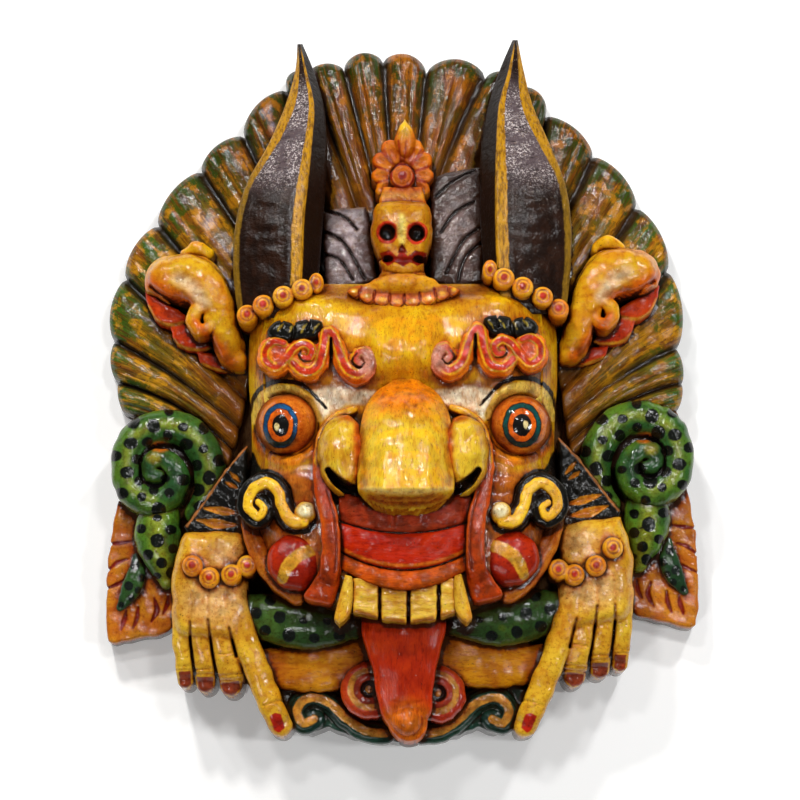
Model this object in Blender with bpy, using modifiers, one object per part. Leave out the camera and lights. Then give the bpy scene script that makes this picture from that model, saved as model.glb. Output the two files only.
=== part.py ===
"""A carved and painted wooden demon mask, cut from one block, lying on its flat back.

World frame: metres, +X to the viewer's right, +Y to the horn tips, +Z out of the face, Z = 0 at the sawn back.
The carving is drawn on a front sheet, seen from a little below square on. A sheet place is (across, down),
and SHEET_TALL sheet units span the mask from horn tip to tongue tip. Depths are the carving's own
millimetres above the sawn back. The left half is drawn, and the right half is the same forms turned over,
lifted a little at the sides, as the hand-cut piece is.
"""

import math

import bpy
import bmesh
from mathutils import Vector

HEIGHT = 0.500
SHEET_TALL = 701.0
SHEET_MIDDLE = (400.5, 391.5)
UNIT = HEIGHT / SHEET_TALL
MM = HEIGHT / 500.0
SHEET_TILT = math.radians(10.0)
SHEET_EYE = 4.4 * HEIGHT
SHEET_DEPTH = 60.0
CENTRE_SHIFT = 0.0139 * HEIGHT

BOARD = 0.018
WALL = 0.024
HOLLOW_FLARE = 1.10
HOLLOW_NARROW = 0.72
HOLLOW_CORNER = 0.5
SAW_ALLOWANCE = 0.004
SURFACE_STEP = 0.002
KEPT_FACETS = 0.0235

WOOD = (0.56, 0.34, 0.07, 1.0)
MID_LINE = 403.5
OUTER_DRIFT = 2.5
SIDE_RISE = 16.0
RISE_FROM, RISE_TO = 100.0, 220.0


def spot(across, down, depth):
    """The place in the world of a sheet point at a depth, past the tilt and the nearness of the view."""
    right = (across - SHEET_MIDDLE[0]) * UNIT
    up = (SHEET_MIDDLE[1] - down) * UNIT
    lift = (depth - SHEET_DEPTH) * MM
    cosine, sine = math.cos(SHEET_TILT), math.sin(SHEET_TILT)
    y = (up * (SHEET_EYE - cosine * lift) - sine * SHEET_EYE * lift) / (cosine * SHEET_EYE - sine * up)
    away = SHEET_EYE - cosine * lift + sine * y
    return Vector((right * away / SHEET_EYE, y - CENTRE_SHIFT, depth * MM))


def turned_over(across, down, rise=None):
    """The sheet place on the right half that answers one on the left half."""
    off = abs(across - MID_LINE)
    if rise is None:
        rise = SIDE_RISE * min(1.0, max(0.0, (off - RISE_FROM) / (RISE_TO - RISE_FROM)))
    return 2 * MID_LINE - across - OUTER_DRIFT * off / 300.0, down - rise


def closed_loft(name, rings):
    """A closed body through rings that hold the same number of points, capped at both ends."""
    bm = bmesh.new()
    rows = [[bm.verts.new(point) for point in ring] for ring in rings]
    for low, high in zip(rows, rows[1:]):
        for i in range(len(low)):
            j = (i + 1) % len(low)
            bm.faces.new((low[i], low[j], high[j], high[i]))
    bm.faces.new(list(reversed(rows[0])))
    bm.faces.new(rows[-1])
    bmesh.ops.recalc_face_normals(bm, faces=bm.faces)
    return form_object(name, bm)


def form_object(name, bm):
    mesh = bpy.data.meshes.new(name)
    bm.to_mesh(mesh)
    bm.free()
    form = bpy.data.objects.new(name, mesh)
    forms.objects.link(form)
    form.hide_render = True
    form.display_type = "WIRE"
    return form


PATH_STEPS = 3
FULL_ARCH = ((-1.0, None), (-1.0, 0.8), (-0.66, 0.22), (0.0, 0.0), (0.66, 0.22), (1.0, 0.8), (1.0, None))
SLIM_ARCH = ((-1.0, None), (-0.95, 0.6), (0.0, 0.0), (0.95, 0.6), (1.0, None))


def smooth_path(points):
    """A curve of PATH_STEPS short runs between each two drawn points (across, down, radius, depth)."""
    ends = [points[0]] + list(points) + [points[-1]]
    path = []
    for before, start, end, after in zip(ends, ends[1:], ends[2:], ends[3:]):
        for step in range(PATH_STEPS):
            t = step / PATH_STEPS
            weights = (
                0.5 * (-t + 2 * t ** 2 - t ** 3), 0.5 * (2 - 5 * t ** 2 + 3 * t ** 3),
                0.5 * (t + 4 * t ** 2 - 3 * t ** 3), 0.5 * (-t ** 2 + t ** 3),
            )
            path.append(tuple(
                sum(weight * value for weight, value in zip(weights, values))
                for values in zip(before, start, end, after)
            ))
    path.append(points[-1])
    return path


def ridge(name, points, floor, slim=False):
    """A rounded ridge with upright sides that runs along a path and goes down to the floor depth."""
    path = smooth_path(points)
    shape = SLIM_ARCH if slim else FULL_ARCH
    tops = [spot(x, y, z) for x, y, _, z in path]
    radii = [r * UNIT for _, _, r, _ in path]
    rings = []
    for i, (top, radius) in enumerate(zip(tops, radii)):
        along = tops[min(i + 1, len(tops) - 1)] - tops[max(i - 1, 0)]
        along.z = 0.0
        along.normalize()
        side = Vector((-along.y, along.x, 0.0))
        if i == 0 and not slim:
            rings.append(arch(shape, top - along * radius * 0.55, side, radius * 0.5, radius * 0.45, floor))
        rings.append(arch(shape, top, side, radius, 0.0, floor))
        if i == len(tops) - 1 and not slim:
            rings.append(arch(shape, top + along * radius * 0.55, side, radius * 0.5, radius * 0.45, floor))
    return closed_loft(name, rings)


def arch(shape, top, side, radius, drop, floor):
    """One cross-section of a ridge: a half-round on upright sides."""
    ring = []
    for across, down in shape:
        point = top + side * (across * radius)
        point.z = floor * MM if down is None else top.z - drop - down * radius
        ring.append(point)
    return ring


def dome(name, across, down, wide, tall, depth, floor, rise, turn=0.0, sides=12):
    """A raised boss with an oval foot: upright to within its rise of the top, and rounded above."""
    middle = spot(across, down, depth)
    tilt = math.radians(turn)
    rings = []
    for share, height in ((1.0, floor), (1.0, depth - rise), (0.8, depth - 0.4 * rise), (0.4, depth - 0.06 * rise)):
        ring = []
        for i in range(sides):
            angle = 2 * math.pi * i / sides
            x = wide * UNIT * share * math.cos(angle)
            y = tall * UNIT * share * math.sin(angle)
            ring.append(Vector((
                middle.x + x * math.cos(tilt) - y * math.sin(tilt),
                middle.y + x * math.sin(tilt) + y * math.cos(tilt),
                height * MM,
            )))
        rings.append(ring)
    return closed_loft(name, rings)


def plate(name, outline, depth, floor, bevel):
    """A flat-topped form with a bevelled upper edge, from an outline on the sheet."""
    curve = bpy.data.curves.new(name, "CURVE")
    curve.dimensions = "2D"
    curve.fill_mode = "BOTH"
    curve.extrude = (depth - floor) * MM / 2
    spline = curve.splines.new("POLY")
    spline.points.add(len(outline) - 1)
    for point, (x, y) in zip(spline.points, outline):
        place = spot(x, y, depth)
        point.co = (place.x, place.y, 0.0, 1.0)
    spline.use_cyclic_u = True
    drawn = bpy.data.objects.new(name, curve)
    bpy.context.scene.collection.objects.link(drawn)
    drawn.location.z = (depth + floor) * MM / 2
    bpy.context.view_layer.update()
    evaluated = drawn.evaluated_get(bpy.context.evaluated_depsgraph_get())
    bm = bmesh.new()
    bm.from_mesh(bpy.data.meshes.new_from_object(evaluated))
    bm.transform(drawn.matrix_world)
    bpy.data.objects.remove(drawn)
    bmesh.ops.remove_doubles(bm, verts=bm.verts, dist=0.00005)
    top = [e for e in bm.edges if all(v.co.z > (depth - 0.5) * MM for v in e.verts) and len(e.link_faces) == 2
           and abs(e.link_faces[0].normal.z - e.link_faces[1].normal.z) > 0.5]
    if bevel:
        bmesh.ops.bevel(bm, geom=top, offset=bevel * MM, segments=1, affect="EDGES", clamp_overlap=True)
    return form_object(name, bm)


def both_sides(make, name, places, *rest, rise=None, **more):
    """Makes a form on the left half as drawn, and on the right half turned over."""
    make(name + "_left", places, *rest, **more)
    other = [turned_over(p[0], p[1], rise) + tuple(p[2:]) for p in places]
    make(name + "_right", other, *rest, **more)


def both_domes(name, across, down, wide, tall, depth, floor, swell, turn=0.0, rise=None, **more):
    dome(name + "_left", across, down, wide, tall, depth, floor, swell, turn, **more)
    x, y = turned_over(across, down, rise)
    dome(name + "_right", x, y, wide, tall, depth, floor, swell, -turn, **more)


def clear_scene():
    for thing in list(bpy.data.objects):
        bpy.data.objects.remove(thing, do_unlink=True)


# The fan: one scalloped relief, lofted across the carved valleys between its lobes.
# Each valley is drawn from the rim, past a bend, to where it runs in under the head.
FAN_VALLEYS = (
    ((126, 415), (178, 424), (226, 470)),
    ((119, 383), (180, 398), (232, 450)),
    ((116, 342), (178, 374), (238, 428)),
    ((127, 280), (168, 322), (245, 400)),
    ((159, 227), (196, 272), (256, 335)),
    ((202, 173), (238, 230), (290, 300)),
    ((245, 138), (264, 182), (318, 285)),
    ((288, 92), (306, 165), (345, 270)),
    ((308, 74), (330, 130), (366, 235)),
    ((344, 71), (362, 140), (384, 220)),
    ((383, 63), (388, 135), (396, 215)),
    ((426, 75), (420, 135), (412, 215)),
    ((485, 79), (452, 135), (425, 225)),
    ((520, 88), (500, 165), (462, 270)),
    ((544, 118), (538, 180), (490, 285)),
    ((592, 158), (565, 220), (518, 300)),
    ((635, 209), (605, 260), (550, 330)),
    ((666, 272), (632, 315), (562, 390)),
    ((675, 349), (622, 372), (566, 420)),
    ((681, 384), (622, 395), (570, 442)),
    ((675, 412), (622, 420), (574, 462)),
)
FAN_SCALLOPS = (4, 7, 11, 11, 12, 12, 14, 12, 9, 14, 15, 18, 12, 12, 12, 12, 12, 12, 5, 4)
FAN_EDGE, FAN_LIP, FAN_VALLEY, FAN_INNER = 12.0, 20.0, 22.0, 42.0
FAN_LOBE = 9.0
FAN_STEPS = 4
FAN_ROWS = (0.0, 0.06, 0.3, 0.65, 1.0)


def fan_point(rim, bend, inner, t):
    return tuple((1 - t) ** 2 * a + 2 * t * (1 - t) * b + t * t * c for a, b, c in zip(rim, bend, inner))


def fan():
    columns = []
    for i, (left, right) in enumerate(zip(FAN_VALLEYS, FAN_VALLEYS[1:])):
        last = i == len(FAN_VALLEYS) - 2
        for s in range(FAN_STEPS + (1 if last else 0)):
            share = s / FAN_STEPS
            swell = math.sin(math.pi * share)
            chord = (right[0][0] - left[0][0], right[0][1] - left[0][1])
            outward = (chord[1] / math.hypot(*chord), -chord[0] / math.hypot(*chord))
            column = []
            for t in FAN_ROWS:
                a, b = fan_point(*left, t), fan_point(*right, t)
                push = FAN_SCALLOPS[i] * max(swell, 0.0) ** 0.55 * max(0.0, 1 - 2.2 * t)
                x = a[0] + (b[0] - a[0]) * share + outward[0] * push
                y = a[1] + (b[1] - a[1]) * share + outward[1] * push
                depth = FAN_VALLEY + (FAN_INNER - FAN_VALLEY) * t + FAN_LOBE * max(swell, 0.0) ** 0.7
                if t == 0.0:
                    depth = FAN_EDGE + (FAN_LIP - FAN_EDGE) * max(swell, 0.0) ** 0.7
                column.append(spot(x, y, depth))
            rim, inner = column[0].copy(), column[-1].copy()
            rim.z = inner.z = -0.8 * SAW_ALLOWANCE
            columns.append([rim] + column + [inner])
    closed_loft("fan", columns)


# The block behind the face: rows of (down, share of the half width, front depth, side depth)
FACE_HALF = 154.0
FACE_MIDDLE = 403.0
FACE_TOP, FACE_CHIN = 284.0, 614.0
FACE_BESIDE_EYES = 110.0
FACE_FOOT = 2.0
FACE_ROWS = (
    (FACE_TOP, 0.73, 84, 58), (291, 0.86, 100, 62), (303, 0.95, 112, 66), (325, 0.99, 119, 68),
    (352, 1.0, 121, 70),
    (385, 1.0, 114, 70), (420, 0.985, FACE_BESIDE_EYES, 70), (465, 0.985, 112, 70), (510, 1.02, 116, 68),
    (545, 0.97, 120, 66), (575, 0.86, 120, 62), (598, 0.68, 112, 58), (FACE_CHIN, 0.49, 98, 54),
)
FACE_COLUMNS = (-1.0, -0.985, -0.93, -0.8, -0.55, -0.2, 0.2, 0.55, 0.8, 0.93, 0.985, 1.0)


def face():
    rings = []
    for down, width, front, side in FACE_ROWS:
        ring = []
        for share in FACE_COLUMNS:
            depth = side + (front - side) * (1 - abs(share) ** 5) ** 0.8
            ring.append(spot(FACE_MIDDLE + FACE_HALF * width * share, down, depth))
        for end in (ring[-1], ring[0]):
            ring.append(Vector((end.x, end.y, FACE_FOOT * MM)))
        rings.append(ring)
    closed_loft("face", rings)


# Horns: rows of (down, left edge, right edge, front edge, front depth). The tall side wall faces the middle.
HORN_LEFT = (
    (45, 298.5, 301.5, 300, 52), (72, 295, 314, 306, 60), (106, 285, 324, 313, 72), (145, 268, 327, 310, 84),
    (183, 247, 326, 306, 93), (221, 236, 323, 302, 99), (262, 233, 320, 301, 103), (300, 236, 316, 299, 104),
)
HORN_RIGHT = (
    (41, 513.5, 516.5, 515, 52), (72, 499, 524, 509, 60), (106, 488, 533, 500, 72), (145, 481, 550, 498, 84),
    (183, 480, 565, 497, 93), (221, 480, 571, 497, 99), (260, 483, 571, 498, 103), (296, 489, 568, 501, 104),
)
HORN_WALL = 20.0
HORN_FALL = 17.0
HORN_BACK = 24.0


def horn(name, rows, inner_right):
    rings = []
    for down, left, right, crest, depth in rows:
        outer, inner = (left, right) if inner_right else (right, left)
        share = (depth - rows[0][4]) / (rows[-1][4] - rows[0][4])
        wall, fall = HORN_WALL * (0.25 + 0.75 * share), HORN_FALL * (0.25 + 0.75 * share)
        back = HORN_BACK if share > 0.2 else depth - 14.0
        marks = (
            (outer, back), (outer, depth - fall), (outer + 0.18 * (crest - outer), depth - 0.45 * fall),
            (outer + 0.6 * (crest - outer), depth - 0.1 * fall), (crest, depth), (inner, depth - wall),
            (inner, back),
        )
        rings.append([spot(x, down, z) for x, z in marks])
    closed_loft(name, rings)


# The nose: rows of (down, half width, front depth, fall at the sides)
NOSE_ROWS = (
    (382, 10, 126, 4), (390, 24, 136, 8), (402, 34, 146, 13), (418, 40, 154, 18), (445, 44, 163, 22),
    (470, 46, 169, 24), (489, 46, 172, 24), (498, 40, 160, 18), (508, 30, 145, 10), (518, 22, 130, 5),
)
NOSE_FLOOR = 92.0
NOSE_MIDDLE = 406
NOSE_SECTION = (
    (-1.0, None), (-1.0, 1.0), (-0.8, 0.3), (-0.42, 0.0), (0.42, 0.0), (0.8, 0.3), (1.0, 1.0), (1.0, None),
)


def nose():
    rings = []
    for down, half, depth, fall in NOSE_ROWS:
        ring = []
        for share, drop in NOSE_SECTION:
            z = NOSE_FLOOR if drop is None else depth - fall * drop
            ring.append(spot(NOSE_MIDDLE + half * share, down, z))
        rings.append(ring)
    closed_loft("nose", rings)


EYE = (287, 424)
EYE_RADIUS = 29.5
EYE_DEPTH = 98.0

# Ridges along a path. Each row of a path is (across, down, radius, depth), drawn on the left half.
BROW_OUTER = (
    (278, 352, 5, 126), (268, 344, 6.5, 127), (261, 357, 7, 126), (268, 372, 8, 126), (281, 366, 7, 127),
    (291, 350, 7, 129), (304, 342, 6.5, 130), (314, 350, 6, 130), (312, 360, 5, 129), (305, 359, 4, 128),
)
BROW_INNER = (
    (291, 368, 7, 127), (304, 378, 8, 128), (318, 371, 8, 129), (325, 350, 7, 130), (328, 329, 6, 129),
    (336, 336, 6, 130), (341, 351, 7, 131), (346, 369, 8, 131), (358, 379, 8.5, 131), (371, 370, 8, 132),
    (371, 355, 7, 132), (360, 351, 6, 132), (353, 359, 5, 131), (360, 365, 4, 131),
)
UPPER_LID = ((253, 414, 4, 108), (262, 392, 5, 114), (283, 384, 5, 118), (307, 394, 5, 119), (323, 416, 4, 117))
LOWER_LID = ((257, 440, 4, 106), (272, 459, 5, 110), (296, 460, 5, 113), (317, 444, 4, 114))
CHEEK_BAND = (
    (357, 408, 5, 130), (334, 416, 6, 130), (319, 436, 6, 130), (315, 466, 7, 131), (320, 495, 9, 133),
    (327, 520, 10, 136), (330, 550, 10.5, 136), (325, 578, 14, 132), (317, 594, 16, 124),
)
CHEEK_CURL = (
    (258, 501, 5, 117), (265, 509, 5, 118), (257, 515, 6, 118), (250, 503, 6, 118), (255, 488, 6, 119),
    (268, 483, 6, 120), (278, 491, 6, 121), (282, 506, 6, 122), (291, 520, 6.5, 123), (303, 521, 6, 124),
)
CHEEK_STRIPE = ((282, 574, 5, 120), (300, 556, 6, 125), (321, 547, 6, 126))
JAW_FOLD = ((249, 520, 9, 86), (256, 545, 10, 92), (272, 572, 11, 96), (296, 592, 11, 98))
FANG = ((348, 580, 10, 131), (343, 602, 7, 128), (339, 623, 2.5, 120))
LEAF_RIB_UPPER = ((330, 232, 4, 66), (350, 244, 5, 68), (368, 270, 4, 68))
LEAF_RIB_LOWER = ((328, 255, 4, 66), (348, 267, 5, 68), (366, 293, 4, 68))
EAR_RIM = (
    (168, 306, 9, 66), (152, 292, 10, 70), (158, 268, 11, 74), (182, 261, 11, 77), (208, 268, 11, 78),
    (224, 284, 10, 76),
)
EAR_CURL = ((196, 300, 8, 76), (212, 308, 6.5, 78), (217, 324, 6.5, 80), (206, 334, 6, 80), (198, 325, 5, 79))
EAR_LOBE = ((230, 300, 12, 70), (228, 325, 14, 74), (228, 350, 13, 74), (234, 362, 8, 70))
CUFF_SLASHES = (
    ((217, 484, 3, 74), (231, 486, 4, 75), (247, 488, 3, 74)),
    ((204, 509, 3, 74), (222, 511, 4, 75), (238, 513, 3, 74)),
    ((192, 523, 3, 74), (214, 525, 4, 75), (230, 527, 3, 74)),
)
PALM = ((211, 534, 30, 74), (208, 560, 32, 79), (207, 590, 37, 80), (210, 622, 36, 74), (212, 640, 32, 68))
LITTLE_FINGER = ((184, 620, 7.5, 66), (182, 650, 7.5, 63), (185, 679, 7, 54))
RING_FINGER = ((200, 625, 9, 69), (200, 655, 9, 66), (205, 683, 8, 56))
MIDDLE_FINGER = ((219, 630, 10, 70), (222, 660, 10, 66), (230, 687, 9.5, 56))
LONG_THUMB = ((236, 622, 11, 72), (247, 655, 10.5, 70), (263, 692, 10.5, 66), (279, 725, 10.5, 60))
COIL = (
    (193, 510, 14, 50), (206, 485, 15, 57), (204, 455, 15.5, 60), (187, 430, 15, 60), (162, 422, 14, 60),
    (137, 432, 14, 60), (124, 455, 14, 60), (124, 480, 14, 60), (141, 500, 13, 60), (163, 497, 12, 61),
    (176, 480, 11, 62), (173, 460, 9, 62), (158, 452, 7, 62), (149, 463, 6, 60),
)
SNAKE_TAIL = ((152, 516, 15, 52), (154, 540, 19, 52), (162, 562, 13, 47), (168, 584, 5, 38))
LEAF_VEIN = ((138, 560, 5, 32), (134, 582, 9, 34), (121, 608, 4, 31))
SNAKE_BODY = ((256, 612, 20, 74), (285, 618, 25, 84), (318, 622, 24, 86), (350, 622, 14, 84))
CHIN_ROLL = ((270, 662, 16, 62), (305, 668, 18, 68), (340, 662, 20, 72), (372, 650, 20, 74))
SCROLL_LINE = (
    (378, 730, 6, 52), (350, 720, 6, 54), (326, 700, 6, 55), (306, 699, 6, 55), (296, 713, 6, 54),
    (303, 725, 5, 53), (315, 718, 5, 53),
)
# Each ridge: name, path, floor depth, slim arch or full, lift of the right-hand one (None: the lift of its place)
SIDE_RIDGES = (
    ("brow_outer", BROW_OUTER, 96, True, 4), ("brow_inner", BROW_INNER, 96, True, 4),
    ("upper_lid", UPPER_LID, 92, True, 3), ("lower_lid", LOWER_LID, 92, True, 0),
    ("cheek_band", CHEEK_BAND, 80, False, 2), ("cheek_curl", CHEEK_CURL, 92, True, 0),
    ("cheek_stripe", CHEEK_STRIPE, 90, True, 4), ("jaw_fold", JAW_FOLD, 50, False, None),
    ("fang", FANG, 92, True, 1),
    ("leaf_rib_upper", LEAF_RIB_UPPER, 40, True, 6), ("leaf_rib_lower", LEAF_RIB_LOWER, 40, True, 6),
    ("ear_rim", EAR_RIM, 40, False, 6), ("ear_curl", EAR_CURL, 40, True, 6), ("ear_lobe", EAR_LOBE, 40, False, 6),
    ("cuff_slash_upper", CUFF_SLASHES[0], 60, True, None), ("cuff_slash_middle", CUFF_SLASHES[1], 60, True, None),
    ("cuff_slash_lower", CUFF_SLASHES[2], 60, True, None),
    ("hand", PALM, 8, False, None), ("little_finger", LITTLE_FINGER, 8, False, 14),
    ("ring_finger", RING_FINGER, 8, False, 14), ("middle_finger", MIDDLE_FINGER, 8, False, 14),
    ("long_thumb", LONG_THUMB, 8, False, 4),
    ("coil", COIL, 6, False, 9), ("snake_tail", SNAKE_TAIL, 6, False, None), ("leaf_vein", LEAF_VEIN, 6, True, None),
    ("snake", SNAKE_BODY, 12, False, 4), ("chin_roll", CHIN_ROLL, 8, False, 4),
    ("scroll_line", SCROLL_LINE, 40, True, 0),
)

# Flat-topped plates: outline on the left half, depth, floor depth, bevel, lift of the right-hand one
BROW_TUFT = ((268, 339), (273, 323), (318, 319), (323, 338), (300, 343))
CROWN_LEAF = ((326, 212), (345, 208), (372, 216), (377, 250), (374, 286), (345, 292), (323, 278), (320, 240))
EAR = (
    (232, 268), (205, 256), (170, 254), (150, 270), (147, 296), (168, 314), (194, 306), (200, 330),
    (214, 340), (222, 364), (240, 370), (256, 340), (252, 290),
)
CUFF = ((252, 441), (222, 474), (203, 503), (183, 526), (186, 534), (246, 540), (262, 500))
LEAF_PLATE = (
    (118, 500), (109, 549), (106, 600), (107, 634), (113, 643), (142, 637), (172, 628), (176, 590), (160, 515),
)
SCROLL = (
    (280, 690), (296, 680), (318, 680), (340, 692), (362, 706), (403, 712), (403, 740), (370, 739), (348, 735),
    (328, 727), (311, 733), (296, 727), (286, 714),
)
SAWN = -SAW_ALLOWANCE / MM
SIDE_PLATES = (
    ("brow_tuft", BROW_TUFT, 124, 96, 2.0, 4), ("crown_leaf", CROWN_LEAF, 62, 30, 3.0, 6),
    ("ear", EAR, 62, 20, 4.0, 6), ("cuff", CUFF, 70, 12, 3.0, None),
    ("leaf", LEAF_PLATE, 27, SAWN, 3.0, None), ("scroll", SCROLL, 48, SAWN, 2.0, 0),
)

# Domes: name, across, down, half width, half height, depth, floor depth, rounding, turn, lift of the right-hand one
SIDE_DOMES = (
    ("glabella_side", 378, 350, 12, 30, 128, 92, 12, 0, None), ("nose_wing", 341, 445, 24, 33, 148, 92, 22, 0, 0),
    ("curl_ball", 304, 511, 11, 11, 126, 92, 8, 0, 0), ("cheek", 294, 561, 26, 23, 122, 80, 14, 0, 4),
    ("ear_scallop_upper", 166, 312, 20, 13, 54, 15, 8, -25, 6),
    ("ear_scallop_middle", 184, 337, 15, 12, 54, 15, 8, -25, 6),
    ("ear_scallop_lower", 211, 360, 14, 10, 54, 15, 8, -25, 6), ("rose_eye", 371, 689, 11, 11, 62, 12, 5, 0, -4),
    ("bracelet_bead_1", 188, 566, 9.5, 9.5, 88, 60, 5, 0, 18),
    ("bracelet_bead_2", 209, 578, 9.5, 9.5, 88, 60, 5, 0, 12),
    ("bracelet_bead_3", 231, 574, 9.5, 9.5, 88, 60, 5, 0, 0),
    ("bracelet_bead_4", 247, 566, 9.5, 9.5, 88, 60, 5, 0, -4),
    ("horn_bead_1", 250, 312, 9.5, 9.5, 88, 50, 6, 0, 6), ("horn_bead_2", 264, 303, 9.5, 9.5, 98, 50, 6, 0, 8),
    ("horn_bead_3", 284, 294, 9.5, 9.5, 107, 50, 6, 0, 9), ("horn_bead_4", 303, 287, 9.5, 9.5, 110, 50, 6, 0, 11),
    ("horn_bead_5", 315, 281, 6, 9.5, 104, 50, 6, 0, 13),
)
MIDDLE_DOMES = (
    ("glabella", 404, 352, 30, 40, 132, 92, 16), ("tongue_knob", 407, 719, 14, 13, 104, 60, 7),
    ("tooth_1", 365, 597, 13.4, 17, 128, 80, 5), ("tooth_2", 393.5, 603, 13.9, 17, 128, 80, 5),
    ("tooth_3", 423.5, 603, 14.8, 17, 128, 80, 5), ("tooth_4", 449, 596, 10, 17, 128, 80, 5),
    ("crown_body", 403, 172, 20, 24, 80, 30, 6), ("crown_boss", 403, 176, 12, 12, 88, 40, 5),
    ("skull", 402, 228, 30, 29, 100, 40, 18), ("skull_jaw", 403, 262, 24, 21, 97, 40, 8),
)
CROWN_PETALS = ((391, 153), (420, 156), (382, 170), (426, 172), (382, 186), (424, 188))
COLLAR_PETALS = ((358, 297), (374, 303), (392, 305), (411, 304), (430, 301), (446, 296))
CROWN_PETAL_SIZE = (9.5, 9, 78, 30, 6)
COLLAR_PETAL_SIZE = (10, 6.5, 113, 80, 5)
COLLAR = (404, 291, 60, 15, 108, 60, 12)
COLLAR_SIDES = 24
CROWN_TIP = ((405, 117, 2, 68), (405, 133, 8, 75), (404, 150, 10, 80))
CROWN_BASE = ((382, 196, 6, 86), (404, 194, 6.5, 90), (427, 196, 6, 86))
TONGUE = (
    (404, 618, 40, 104), (404, 640, 38, 107), (404, 663, 31, 105), (405, 690, 25, 101), (407, 722, 22, 96),
    (408, 736, 12, 92),
)
# Lips: name, down at the ends, down in the middle, half width, radius, depth
LIPS = (
    ("upper_lip", 508, 524, 66, 13, 138), ("middle_lip", 535, 551, 65, 17, 139), ("lower_lip", 561, 581, 63, 11, 132),
)
LIP_SHARES = (-1.0, -0.6, -0.2, 0.2, 0.6, 1.0)
LIP_MIDDLE, LIP_FALL, LIP_FLOOR = 406, 5, 84
# The rosette beside the tongue: a ring of one ridge, open towards the tongue
ROSE_MIDDLE, ROSE_RADIUS, ROSE_RIDGE, ROSE_DEPTH = (369, 688), 19, 8, 66
ROSE_TURNS = range(-3, 5)
ROSE_TURN = math.pi / 5


def side_forms():
    for name, path, floor, slim, rise in SIDE_RIDGES:
        both_sides(ridge, name, path, floor, rise=rise, slim=slim)
    for name, outline, depth, floor, bevel, rise in SIDE_PLATES:
        both_sides(plate, name, outline, depth, floor, bevel, rise=rise)
    for name, *sizes, rise in SIDE_DOMES:
        both_domes(name, *sizes, rise=rise)
    rose = []
    for i in ROSE_TURNS:
        across = ROSE_MIDDLE[0] - ROSE_RADIUS * math.cos(i * ROSE_TURN)
        down = ROSE_MIDDLE[1] - ROSE_RADIUS * math.sin(i * ROSE_TURN)
        rose.append((across, down, ROSE_RIDGE, ROSE_DEPTH))
    both_sides(ridge, "rose", rose, 12, rise=-4, slim=True)
    for side, (x, y) in (("left", EYE), ("right", turned_over(*EYE, 0))):
        bm = bmesh.new()
        bmesh.ops.create_uvsphere(bm, u_segments=24, v_segments=16, radius=EYE_RADIUS * UNIT)
        bmesh.ops.translate(bm, verts=bm.verts, vec=spot(x, y, EYE_DEPTH))
        form_object("eye_" + side, bm)


def middle_forms():
    for name, *sizes in MIDDLE_DOMES:
        dome(name, *sizes)
    dome("collar", *COLLAR, sides=COLLAR_SIDES)
    for i, place in enumerate(CROWN_PETALS):
        dome("crown_petal_%d" % i, *place, *CROWN_PETAL_SIZE)
    for i, place in enumerate(COLLAR_PETALS):
        dome("collar_petal_%d" % i, *place, *COLLAR_PETAL_SIZE)
    ridge("crown_tip", CROWN_TIP, 30, slim=True)
    ridge("crown_base", CROWN_BASE, 30)
    ridge("tongue", TONGUE, 12)
    for name, side, middle, half, radius, depth in LIPS:
        points = [
            (LIP_MIDDLE + half * t, middle + (side - middle) * t * t, radius, depth - LIP_FALL * t * t)
            for t in LIP_SHARES
        ]
        ridge(name, points, LIP_FLOOR)


# The ground of the carving below the fan, that ties the parts together
GROUND = (
    (340, 190), (300, 230), (230, 300), (150, 390), (126, 430), (118, 470), (125, 500), (122, 560), (118, 615),
    (165, 618), (184, 640), (190, 668), (236, 672), (268, 706), (290, 708), (310, 722), (350, 724),
)
GROUND_FOOT = (403, 730)


def back_board():
    outline = list(GROUND) + [GROUND_FOOT] + [turned_over(x, y) for x, y in reversed(GROUND)]
    return plate("mask", outline, BOARD / MM, SAWN, 0)


def as_cutter(form):
    forms.objects.unlink(form)
    cutters.objects.link(form)


def saw_cutter():
    """All that lies behind the sawn back."""
    bm = bmesh.new()
    bmesh.ops.create_cube(bm, size=2 * HEIGHT)
    bmesh.ops.translate(bm, verts=bm.verts, vec=(0.0, 0.0, -HEIGHT))
    as_cutter(form_object("saw_cut", bm))


def hollow_cutter():
    """The dug-out back behind the face, a wall's thickness inside it, narrower in front, with cut-off corners."""
    half_wide = FACE_HALF * UNIT - WALL
    top = spot(FACE_MIDDLE, FACE_TOP, FACE_ROWS[0][2]).y - WALL
    bottom = spot(FACE_MIDDLE, FACE_CHIN, FACE_ROWS[-1][2]).y + WALL
    half_tall, middle = (top - bottom) / 2, (top + bottom) / 2
    front = FACE_BESIDE_EYES * MM - WALL
    rings = []
    for depth, share in ((-WALL, HOLLOW_FLARE), (front / 2, 1.0), (front, HOLLOW_NARROW)):
        wide, tall = half_wide * share, half_tall * share
        cut = HOLLOW_CORNER * min(wide, tall)
        ring = []
        for sx, sy in ((1, -1), (1, 1), (-1, 1), (-1, -1)):
            ends = [(sx * (wide - cut), sy * tall), (sx * wide, sy * (tall - cut))]
            ring += [Vector((x, middle + y, depth)) for x, y in (ends if sx * sy < 0 else ends[::-1])]
        rings.append(ring)
    as_cutter(closed_loft("hollow", rings))


# Sunk places: name, across, down, half width, half height and reach in depth, depth
SOCKETS = (
    ("socket_left", 387, 233, 8, 8.5, 98), ("socket_right", 417, 233, 8, 8.5, 98),
    ("nostril_left", 346, 484, 10, 6, 132), ("nostril_right", 461, 481, 10, 6, 132),
)


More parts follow.
